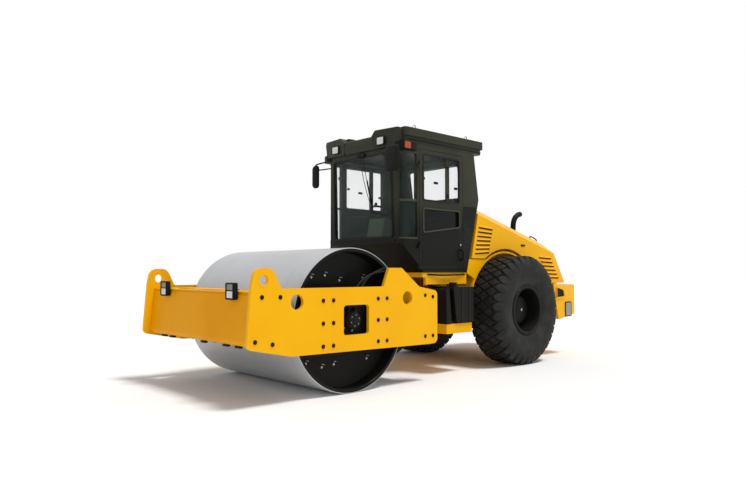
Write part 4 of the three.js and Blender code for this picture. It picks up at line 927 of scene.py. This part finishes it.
def hood_parts():
    refined("hood", YELLOW, 0.010, 3)
    lid, lips, slot_shade_sheets = "engine_hood", [], []
    # Each group of louvres lies between two slanted edges, given by their ends, front and rear.
    groups = (((-2.535, 1.879), (-2.457, 1.524), (-2.846, 1.859), (-2.764, 1.544), 7),
              ((-3.986, 1.491), (-4.233, 1.189), (-4.321, 1.478), (-4.530, 1.184), 6))
    for *ends, count in groups:
        top_front, low_front, top_rear, low_rear = map(np.array, ends)
        for t in np.linspace(0, 1, count):
            lip, slot = louvre(top_front * (1 - t) + low_front * t, top_rear * (1 - t) + low_rear * t)
            lips.append(lip)
            slot_shade_sheets.append(slot)
    pair("hood_louvres_{}", total(lips), YELLOW, body=lid, sharp=60)
    # The slots' thin sheets carry the painted shade.
    pair("hood_slot_shades_{}", total(slot_shade_sheets), SHADE, body=lid)
    latch = pad("side", -3.62, -3.52, 1.640, 1.668, 0.7504, 0.758, 0.008)
    pair("hood_latch_{}", latch, PLASTIC, 0.002, lid)

    def top(x):
        return 2.160 - (-2.550 - x) * (2.160 - 1.715) / (4.240 - 2.550)

    grips = both(tube([(x, 0.56, top(x) + lift) for x, lift in
                       ((-4.05, 0), (-4.05, 0.045), (-4.20, 0.045), (-4.20, 0))], 0.009, 10, 6))
    piece("hood_grips", grips, BLACK, body=lid)

    face = np.array((-4.405, 1.538)), np.array((-4.672, 1.142))
    length = float(np.linalg.norm(face[1] - face[0]))
    along = (face[1] - face[0]) / length
    out = np.array((along[1], -along[0]))

    def on_face(t0, t1, y0, y1, d0, d1):
        """A bar on the hood's rear face, from t0 to t1 down it and d0 to d1 out of it."""
        ends = [face[0] + along * t + out * d for t, d in ((t0, d0), (t1, d0), (t1, d1), (t0, d1))]
        return extrude(ends, "side", y0, y1)

    piece("grille_back", on_face(0, length, -0.52, 0.52, 0.0006, 0.003), BLACK, body=lid)
    slats = total(on_face(t, t + 0.010, -0.50, 0.50, 0.004, 0.014)
                  for t in np.arange(0.02, length - 0.02, 0.026))
    border = (on_face(0, 0.014, -0.53, 0.53, 0.002, 0.017)
              + on_face(length - 0.014, length, -0.53, 0.53, 0.002, 0.017)
              + both(on_face(0, length, 0.516, 0.53, 0.002, 0.017)))
    piece("grille_slats", slats + border, BLACK, 0.002, lid)


def exhaust():
    """A bent tail pipe, open at its end, on a collar."""
    x, y = -3.970, 0.300
    path = smooth_path([(x, y, 1.72), (x, y, 1.90), (x - 0.012, y, 2.030), (x - 0.055, y, 2.110),
                        (x - 0.125, y, 2.160), (x - 0.190, y, 2.178)], 10)
    side, up = frames(path)
    ring = circle(0, 0, 1, 28)
    ring = side[:, None] * ring[None, :, :1] + up[:, None] * ring[None, :, 1:]
    outer, inner = path[:, None] + 0.0415 * ring, path[-14:, None] + 0.037 * ring[-14:]
    collar = lathe([(0.0425, 1.78), (0.070, 1.78), (0.074, 1.79), (0.074, 1.838), (0.062, 1.848),
                    (0.0425, 1.85)], "z", (x, y, 0), 40)
    piece("exhaust_tail", loft(np.vstack([outer, inner[::-1]])) + collar, BLACK, body="engine_hood",
          sharp=50, replaces=("exhaust_pipe",))


# ------------------------------------------------------------------ cab
SCREEN_LEAN, SCREEN_FOOT = 0.030 / 1.240, 1.620  # the windscreen's slope, and its lowest z
REAR_LEAN, REAR_FOOT = 0.100 / 0.620, 2.860  # the rear window's slope, and where it starts


def screen(shape):
    """Leans an upright shape on the plane x = -1.1 back to the windscreen's plane."""
    return shape.sheared(SCREEN_LEAN, SCREEN_FOOT)


def wiper():
    """A parallel-arm wiper: two thin arms from a spindle box to a long rubber blade."""
    x = -1.086
    arms = total(tube([(x + 0.006, y, 2.755), (x + 0.016, (2 * y + e) / 3, 2.55),
                       (x + 0.012, (y + 2 * e) / 3, 2.33), (x + 0.008, e, 2.16)], 0.0045, 8, 6)
                 for y, e in ((-0.015, 0.165), (0.045, 0.215)))
    blade = extrude(rect(x - 0.006, x + 0.006, 2.00, 2.44), "side", -0.005, 0.005)
    back = tube([(x + 0.010, 0.235, 2.02), (x + 0.016, 0.19, 2.18), (x + 0.010, 0.125, 2.42)],
                0.005, 8, 6)
    box = block(x - 0.008, x + 0.020, -0.05, 0.085, 2.745, 2.785)
    piece("wiper", screen(arms + back + box + blade.sheared(-0.25, 2.20, 1).moved(y=0.180)), PLASTIC,
          0.001)


def corner_strip(x0, x1, outer, inner, low, high):
    """A strip of the cab's front side wall from x0 to x1, bent at the corner post. Its two faces
    lie at depths behind the wall's own face: on each of the wall's two flats, a point is the
    flat's line moved back along its normal, and the flats meet where their lines cross."""
    flats = [((-1.340, 0.750), (-1.140, 0.715)), ((-1.140, 0.715), (-1.070, 0.620))]

    def line(depth):
        sides = []
        for a, b in np.array(flats):
            along = (b - a) / np.linalg.norm(b - a)
            sides.append((a - depth * np.array((-along[1], along[0])), along))
        (p, u), (q, v) = sides
        middle = p + u * np.linalg.solve(np.stack([u, -v], 1), q - p)[0]
        return np.array([p + u * ((x0 - p[0]) / u[0]), middle, q + v * ((x1 - q[0]) / v[0])])

    return extrude(np.vstack([line(outer), line(inner)[::-1]]), "plan", low, high)


def quarter_windows():
    """The seals, belt bars and lower panes of the windows that wrap the cab's front corners."""
    front, rear, low, high, belt = -1.105, -1.325, 1.680, 2.740, 2.148
    seal = (corner_strip(rear - 0.008, front + 0.004, -0.003, 0.012, high - 0.012, high + 0.006)
            + corner_strip(rear - 0.008, front + 0.004, -0.003, 0.012, low - 0.006, low + 0.012))
    pair("quarter_seal_{}", seal, TRIM, 0.002)
    bar = corner_strip(rear, front, 0.001, 0.019, belt - 0.014, belt + 0.014)
    pair("quarter_belt_{}", bar, TRIM, 0.003)
    pane = corner_strip(rear + 0.001, front - 0.001, 0.015, 0.019, low + 0.002, belt - 0.014)
    piece("quarter_lower_pane_left", pane, DARK_GLASS)
    piece("quarter_lower_pane_right", pane.mirrored(), GLASS)


def glazed(node):
    """The CAD's own pane, in clear glass."""
    materials = frame["nodes"][node].data.materials
    materials.clear()
    materials.append(GLASS.material)


def cab_parts():
    refined("cab_frame", CAB, 0.006)
    for node in ("windscreen", "rear_window", "quarter_window_left", "quarter_window_right"):
        glazed(node)
    seal = band(rect(-0.555, 0.555, 1.70, 2.74, 0.04), "front", -1.0945)
    piece("windscreen_seal", screen(seal), SEAL)
    seal = band(rect(-0.480, 0.480, 2.29, 2.74, 0.04), "front", -2.4400)
    piece("rear_window_seal", seal.sheared(REAR_LEAN, REAR_FOOT), SEAL)
    quarter_windows()
    case = slab([(-1.300, 0.700, 0.01), (-1.060, 0.610, 0.01), (-1.040, 0.665, 0.02),
                 (-1.078, 0.774, 0.02), (-1.300, 0.778, 0.01)], "plan", 2.762, 2.8585, 4)
    pair("signal_case_{}", case, PLASTIC, 0.003)
    pair("signal_lens_{}", pad("side", -1.190, -1.088, 2.770, 2.852, 0.764, 0.7795, 0.012),
         ORANGE_LENS, 0.003)
    pane = slab([(-2.222, 1.800, 0.015), (-2.222, 2.135, 0.015), (-2.492, 2.135, 0.015),
                 (-2.404, 1.800, 0.015)], "side", SIDE_FACE, 0.7523, 5)
    pair("rear_side_pane_{}", pane, DARK_GLASS)
    wiper()
    sill = slab(rect(-0.60, 0.60, 1.640, 1.668, 0.01), "front", -1.100, -1.088, 3)
    piece("windscreen_sill", screen(sill), BLACK, 0.002)
    floor = pad("plan", -2.20, -1.48, -0.66, 0.66, 1.3108, 1.3178, 0.03)
    ribs = total(block(-2.18, -1.50, y - 0.006, y + 0.006, 1.318, 1.3205)
                 for y in np.linspace(-0.62, 0.62, 21))
    piece("floor_mat", floor + ribs, SEAL)


def roof_parts():
    """A flat cap over a set-back band, with two lamp housings and a lower visor in front."""
    low, lip, high, notch = 2.8603, 2.930, 3.040, 0.272
    half = [(-1.420, notch), (-1.100, notch), (-1.100, 0.765, 0.03), (-1.160, 0.780, 0.03),
            (-2.620, 0.780, 0.04)]
    piece("roof_cap", slab(across_middle(half), "plan", lip, high), CAB, 0.014, segments=4,
          replaces=("cab_roof",))
    dip = extrude([(-1.425, lip), (-1.095, lip), (-1.095, 2.984), (-1.425, high - 0.004)], "side",
                  -notch, notch)
    piece("roof_front_dip", dip, CAB, 0.004)
    half = [(-1.090, 0.62, 0.02), (-1.130, 0.750, 0.02), (-2.595, 0.755, 0.03)]
    piece("roof_band", slab(across_middle(half), "plan", low, lip + 0.002), CAB, 0.004)
    gutter = both(tube([(-1.16, 0.7555, 2.895), (-1.8, 0.7605, 2.893), (-2.58, 0.7565, 2.891)], 0.006,
                       8, 8))
    piece("roof_gutter", gutter, BLACK)
    hump = slab([(0.270, 2.805, 0.025), (0.655, 2.815, 0.03), (0.700, 2.86, 0.03), (0.735, 3.018, 0.035),
                 (0.690, 3.036, 0.02), (0.330, 3.036, 0.04), (0.262, 2.960, 0.03)], "front", -1.105,
                -0.997)
    x, y, z = hump.points.T
    hump.points[:, 0] = x - np.clip(y - 0.60, 0, None) * 0.55 - np.clip(2.90 - z, 0, None) * 0.2
    pair("roof_lamp_hump_{}", hump, CAB, 0.014, segments=4)
    y = 0.437
    pair("work_lamp_rim_{}", pad("front", y - 0.072, y + 0.072, 2.836, 2.946, -1.004, -0.9925, 0.015),
         PLASTIC, 0.003)
    pair("work_lamp_glass_{}", pad("front", y - 0.056, y + 0.056, 2.848, 2.934, -0.9945, -0.9918, 0.01),
         CLEAR_LENS)
    visor = slab([(-1.105, 2.806, 0.01), (-1.026, 2.806, 0.03), (-1.006, 2.900, 0.03),
                  (-1.020, 2.975, 0.03), (-1.105, 2.985, 0.01)], "side", -0.300, 0.300)
    piece("roof_visor", visor, CAB, 0.008, segments=3)
    eyes = both(total(tube(standing(circle(x, 3.064, 0.027, 28), "side", 0.70), 0.0058, 10, 0, True)
                      + disc(0.018, 3.0395, 3.046, "z", (x, 0.70, 0), 20, 0.002)
                      for x in (-1.33, -2.33)))
    piece("roof_lifting_eyes", eyes, ZINC)


def doors():
    """Both doors: frame, two panes with seals, slider, catches, lower panel, rail and grip."""
    body = "cab_door_{}"
    for name, _ in SIDES:
        refined(f"door_{name}", CAB, 0.004)
        glazed(f"door_glass_{name}")
    front, rear = -1.440, -2.135
    upper = rect(rear, front, 2.165, 2.735, 0.03)
    lower = [(rear, 1.850, 0.03), (front, 1.760, 0.03), (front, 2.060, 0.03), (rear, 2.060, 0.03)]
    for label, corners, finish in (("upper", upper, SEAL), ("lower", lower, TRIM)):
        pair(f"door_seal_{label}_{{}}", band(corners, "side", SIDE_FACE + 0.002, 0.018, 0.010), finish,
             body=body)
    inset = ((0.002, 0.003), (-0.002, 0.003), (-0.002, -0.003), (0.002, -0.003))
    pane = [(x + dx, z + dz, 0.028) for (x, z, _), (dx, dz) in zip(lower, inset)]
    pair("door_lower_pane_{}", slab(pane, "side", 0.7203, 0.7233), DARK_GLASS, body=body)
    lining = pad("side", -2.165, -1.405, 1.345, 1.735, 0.6985, 0.7047)
    pair("door_lining_{}", lining, OLIVE, 0.002, body)
    pair("slider_bar_{}", block(-1.950, -1.880, 0.722, 0.738, 2.170, 2.730), CAB, 0.003, body)
    latches = total(pad("side", x - w, x + w, z - 0.016, z + 0.016, 0.7205, 0.732, 0.01)
                    for x, z, w in ((-1.70, 2.40, 0.038), (-2.09, 2.36, 0.03), (-1.475, 2.44, 0.02)))
    # A disc's eased rims run along +Y on both sides, so these aren't mirror images.
    for name, side in SIDES:
        knobs = total(disc(0.022, side * 0.7385, side * 0.7475, "y", (-1.915, 0, z), 24, 0.003)
                      for z in (2.62, 2.25))
        piece(f"window_catches_{name}", knobs + (latches if side > 0 else latches.mirrored()), PLASTIC,
              0.002, f"cab_door_{name}")
        lock = disc(0.014, side * 0.7555, side * 0.762, "y", (-2.145, 0, 1.62), 20, 0.002)
        piece(f"door_lock_{name}", lock, ZINC, body=f"cab_door_{name}")
    panel = slab([(-2.150, 1.350, 0.02), (-1.420, 1.350, 0.02), (-1.420, 1.690, 0.02),
                  (-2.150, 1.780, 0.02)], "side", SIDE_FACE, 0.7525, 5)
    pair("door_lower_panel_{}", panel, BLACK, 0.001, body)
    rail = tube([(-2.150, SIDE_FACE + 0.010, 1.815), (-1.420, SIDE_FACE + 0.010, 1.725)], 0.006, 10, 4)
    pair("door_rail_{}", rail, CAB, body=body)
    cup = pad("side", -2.175, -2.115, 1.395, 1.585, SIDE_FACE, 0.7555)
    grip = tube([(-2.150, 0.753, 1.425), (-2.150, 0.790, 1.440), (-2.150, 0.790, 1.540),
                 (-2.150, 0.753, 1.555)], 0.0095, 12, 8)
    pair("door_grip_{}", cup + grip, PLASTIC, 0.001, body)


def cushion(name, centre, v_dir, out, half_u, half_v, thick, seams, bolster):
    """A crowned pad across the seat. Its two faces are a flat plane plus thick times a rounded
    dome over (u, v) from -1 to 1; bolsters raise its edges and each seam is a narrow groove."""
    n = 56
    u, v = np.meshgrid(np.linspace(-1, 1, n), np.linspace(-1, 1, n), indexing="ij")
    dome = np.clip(1 - np.abs(u) ** 5, 0, 1) ** 0.45 * np.clip(1 - np.abs(v) ** 5, 0, 1) ** 0.45
    groove = sum(np.exp(-((v - s) / 0.022) ** 2) for s in seams) * (np.abs(u) < 0.62)
    groove = groove + sum(np.exp(-((u - s) / 0.022) ** 2) for s in (-0.62, 0.62))
    height = dome * (thick + bolster * np.exp(-((np.abs(u) - 0.80) / 0.16) ** 2)
                     + 0.10 * thick * (1 - u ** 2) * (1 - v ** 2) - 0.011 * groove)
    across = u * half_u * (1 - 0.035 * (1 - np.abs(u)) * np.abs(v) ** 6)
    base = (np.array(centre) + across[..., None] * np.array((0, 1, 0))
            + v[..., None] * half_v * np.array(v_dir))
    top = base + height[..., None] * np.array(out)
    bottom = base - (dome * 0.5 * thick)[..., None] * np.array(out)
    sheet = quads(n, n, False, False)
    shape = Shape(np.vstack([top.reshape(-1, 3), bottom.reshape(-1, 3)]),
                  [sheet, sheet[:, ::-1] + n * n])
    made = piece(name, shape, CLOTH, sharp=80)


def interior():
    """The seat on its bellows, the console with the wheel, two side boxes and the rear lining."""
    plinth = pad("plan", -2.08, -1.80, -0.18, 0.18, 1.3112, 1.40, 0.03)
    folds = ((1.40 + 0.024 * k, 0.012 * (k % 2)) for k in range(8))
    bellows = total(pad("plan", -2.06 + d, -1.82 - d, -0.16 + d, 0.16 - d, z, z + 0.024, 0.03)
                    for z, d in folds)
    pan = pad("plan", -2.12, -1.72, -0.21, 0.21, 1.594, 1.622, 0.04)
    piece("seat_base", plinth + bellows + pan, PLASTIC, 0.003, replaces=("seat",))
    cushion("seat_cushion", (-1.915, 0, 1.690), (1, 0, 0), (0, 0, 1), 0.245, 0.232, 0.060,
            (-0.45, -0.05, 0.35), 0.022)
    cushion("seat_back", (-2.150, 0, 1.985), (-0.122, 0, 0.993), (0.993, 0, 0.122), 0.235, 0.262,
            0.058, (-0.5, -0.1, 0.3), 0.024)
    arms = both(pad("side", -2.10, -1.77, 1.855, 1.885, 0.240, 0.305, 0.014)
                + block(-2.10, -2.06, 0.245, 0.275, 1.64, 1.857))
    piece("seat_arms", arms, PLASTIC, 0.006, segments=3)
    lining = pad("front", -0.66, 0.66, 1.37, 2.16, -2.2538, -2.2500, 0.03).sheared(-0.2653, 1.36)
    piece("rear_wall_lining", lining, OLIVE)
    column = slab([(-1.480, 1.3112, 0.01), (-1.620, 1.3112, 0.01), (-1.490, 1.950, 0.04),
                   (-1.350, 1.985, 0.04), (-1.290, 1.690, 0.06)], "side", -0.148, 0.148)
    piece("console_body", column, OLIVE, 0.012, segments=3, replaces=("steering_console",))
    ring = tube(standing(circle(0, 0, 0.190, 64), "plan", 0.125), 0.0135, 14, 0, True)
    spokes = total(tube([(0.02, 0, 0.112), (0.10, 0, 0.112), (0.188, 0, 0.125)], 0.009, 10, 6)
                   .turned("z", t) for t in (60, 180, 300))
    hub = total(disc(r, a, b, "z", (x, 0, 0), sides, edge) for r, a, b, x, sides, edge in (
        (0.045, 0.095, 0.128, 0, 32, 0.008), (0.026, 0, 0.1, 0, 24, 0.002),
        (0.018, 0.135, 0.18, 0.187, 20, 0.006)))
    wheel = (ring + spokes + hub).turned("y", -28).moved(-1.420, 0, 1.930)
    piece("steering_wheel", wheel, PLASTIC)
    dash = slab([(-1.475, 1.958, 0.006), (-1.352, 1.988, 0.006), (-1.355, 1.999, 0.004),
                 (-1.478, 1.969, 0.004)], "side", -0.12, 0.12, 3)
    piece("dash_panel", dash, BLACK, 0.002)
    boxes = both(pad("plan", -2.20, -1.80, 0.44, 0.62, 1.3185, 1.76, 0.03))
    piece("side_boxes", boxes, OLIVE, 0.012, segments=3)
    levers = both(tube([(-1.86, 0.52, 1.758), (-1.85, 0.52, 1.84), (-1.83, 0.52, 1.92)], 0.008, 10, 6)
                  + disc(0.020, 1.92, 1.985, "z", (-1.83, 0.52, 0), 20, 0.008))
    piece("control_levers", levers, PLASTIC)


def mirrors():
    """Each mirror is a case that closes towards its front in five sections, on round arms."""
    def mirror(name, arms, x, y0, y1, z0, z1, r, insets, dy, dz, face_r):
        sections = zip((0.0, 0.003, 0.020, 0.035, 0.043), insets)
        case = loft([standing(rounded(rect(y0 + g, y1 - g, z0 + g, z1 - g, r), 8), "front", x + step)
                     for step, g in sections])
        piece(f"mirror_{name}_case", case + arms, PLASTIC, replaces=(f"mirror_{name}",))
        face = pad("front", y0 + dy, y1 - dy, z0 + dz, z1 - dz, x - 0.0025, x - 0.0005, face_r)
        piece(f"mirror_{name}_face", face, MIRROR)

    arm = tube([(-1.075, 0.672, 2.790), (-1.010, 0.720, 2.785), (-0.935, 0.745, 2.775),
                (-0.892, 0.750, 2.745)], 0.0105, 12, 8)
    clamp = disc(0.016, 2.700, 2.745, "z", (-0.884, 0.750, 0), 20, 0.003)
    mirror("left", arm + clamp, -0.905, 0.640, 0.870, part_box("mirror_left")[0].z, 2.780, 0.06,
           (0.003, 0.0, 0.001, 0.012, 0.034), 0.014, 0.014, 0.05)
    arms = (tube([(-1.125, -0.690, 2.790), (-1.125, -0.800, 2.792), (-1.118, -1.000, 2.780),
                  (-1.118, -1.030, 2.740)], 0.010, 12, 8)
            + tube([(-1.125, -0.700, 2.690), (-1.122, -0.850, 2.694), (-1.118, -1.000, 2.700)],
                   0.009, 12, 8))
    mirror("right", arms, -1.140, -1.095, -0.965, 2.450, 2.770, 0.045,
           (0.003, 0.0, 0.001, 0.010, 0.026), 0.012, 0.013, 0.035)


# ------------------------------------------------------------------ everything
for node, node_finish, edge in (
        ("fender_left", YELLOW, 0.004), ("fender_right", YELLOW, 0.004), ("rear_beam", YELLOW, 0.006),
        ("scraper_front", BLACK, 0.002), ("scraper_rear", BLACK, 0.002),
        ("centre_knuckle", CAST, 0.004), ("rear_frame", YELLOW, 0.004)):
    refined(node, node_finish, edge)
for make in (drum_pieces, front_beam, side_plate, front_lamp, drum_support, steering_cylinder, tyre,
             rim, doors, axle_form, engine, bumper_parts, tank_and_platform, hood_parts, exhaust,
             cab_parts, roof_parts, interior, mirrors):
    make()


# ------------------------------------------------------------------ studio
def placed(name, data):
    made = bpy.data.objects.new(name, data)
    bpy.context.scene.collection.objects.link(made)
    return made


def aimed(made, look):
    """Turns a lamp or a camera so that its -Z axis points along look."""
    look = look / np.linalg.norm(look)
    made.rotation_euler = (math.acos(-look[2]), 0, math.atan2(-look[0], look[1]))


def studio():
    """A white floor and sky, a soft key light, and the camera. The sky is full strength to the
    camera, to mirrors and through glass, and weaker as a light."""
    mesh = bpy.data.meshes.new("floor")
    reach, level = 70.0, -0.001
    corners = [(x, y, level) for x, y, _ in rect(-reach, reach, -reach, reach)]
    mesh.from_pydata(corners, [], [(0, 1, 2, 3)])
    card = Finish("studio_card", "")
    card.set(Base_Color=(1.0, 1.0, 1.0, 1), Roughness=0.9, Specular_IOR_Level=0.0)
    mesh.materials.append(card.material)
    floor = placed("studio_floor", mesh)

    world = bpy.data.worlds.new("studio_world")
    bpy.context.scene.world = world
    world.use_nodes = True
    tree = world.node_tree
    path = tree.nodes.new("ShaderNodeLightPath")
    seen = path.outputs["Is Camera Ray"]
    for ray in ("Is Glossy Ray", "Is Transmission Ray"):
        either = tree.nodes.new("ShaderNodeMath")
        either.operation = "MAXIMUM"
        tree.links.new(seen, either.inputs[0])
        tree.links.new(path.outputs[ray], either.inputs[1])
        seen = either.outputs[0]
    strength = tree.nodes.new("ShaderNodeMapRange")
    strength.inputs["To Min"].default_value = 0.45
    tree.links.new(seen, strength.inputs["Value"])
    sky = tree.nodes["Background"].inputs
    tree.links.new(strength.outputs[0], sky["Strength"])
    sky["Color"].default_value = (1, 1, 1, 1)

    sun = bpy.data.lights.new("studio_key", "SUN")
    sun.energy, sun.angle = 2.05, math.radians(14)
    aimed(placed("studio_key", sun), np.array((0.17, -0.33, -0.93)))

    camera = bpy.data.cameras.new("camera")
    camera.lens, camera.sensor_width, camera.clip_end = 31.18, 36.0, 300.0
    eye = placed("camera", camera)
    eye.location = stand = np.array((4.448 + AXLE_X, 6.222, 1.270))
    aimed(eye, np.array((-1.279 + AXLE_X, 0.0, 1.574)) - stand)
    bpy.context.scene.camera = eye
    bpy.context.scene.view_settings.view_transform = "Standard"


studio()
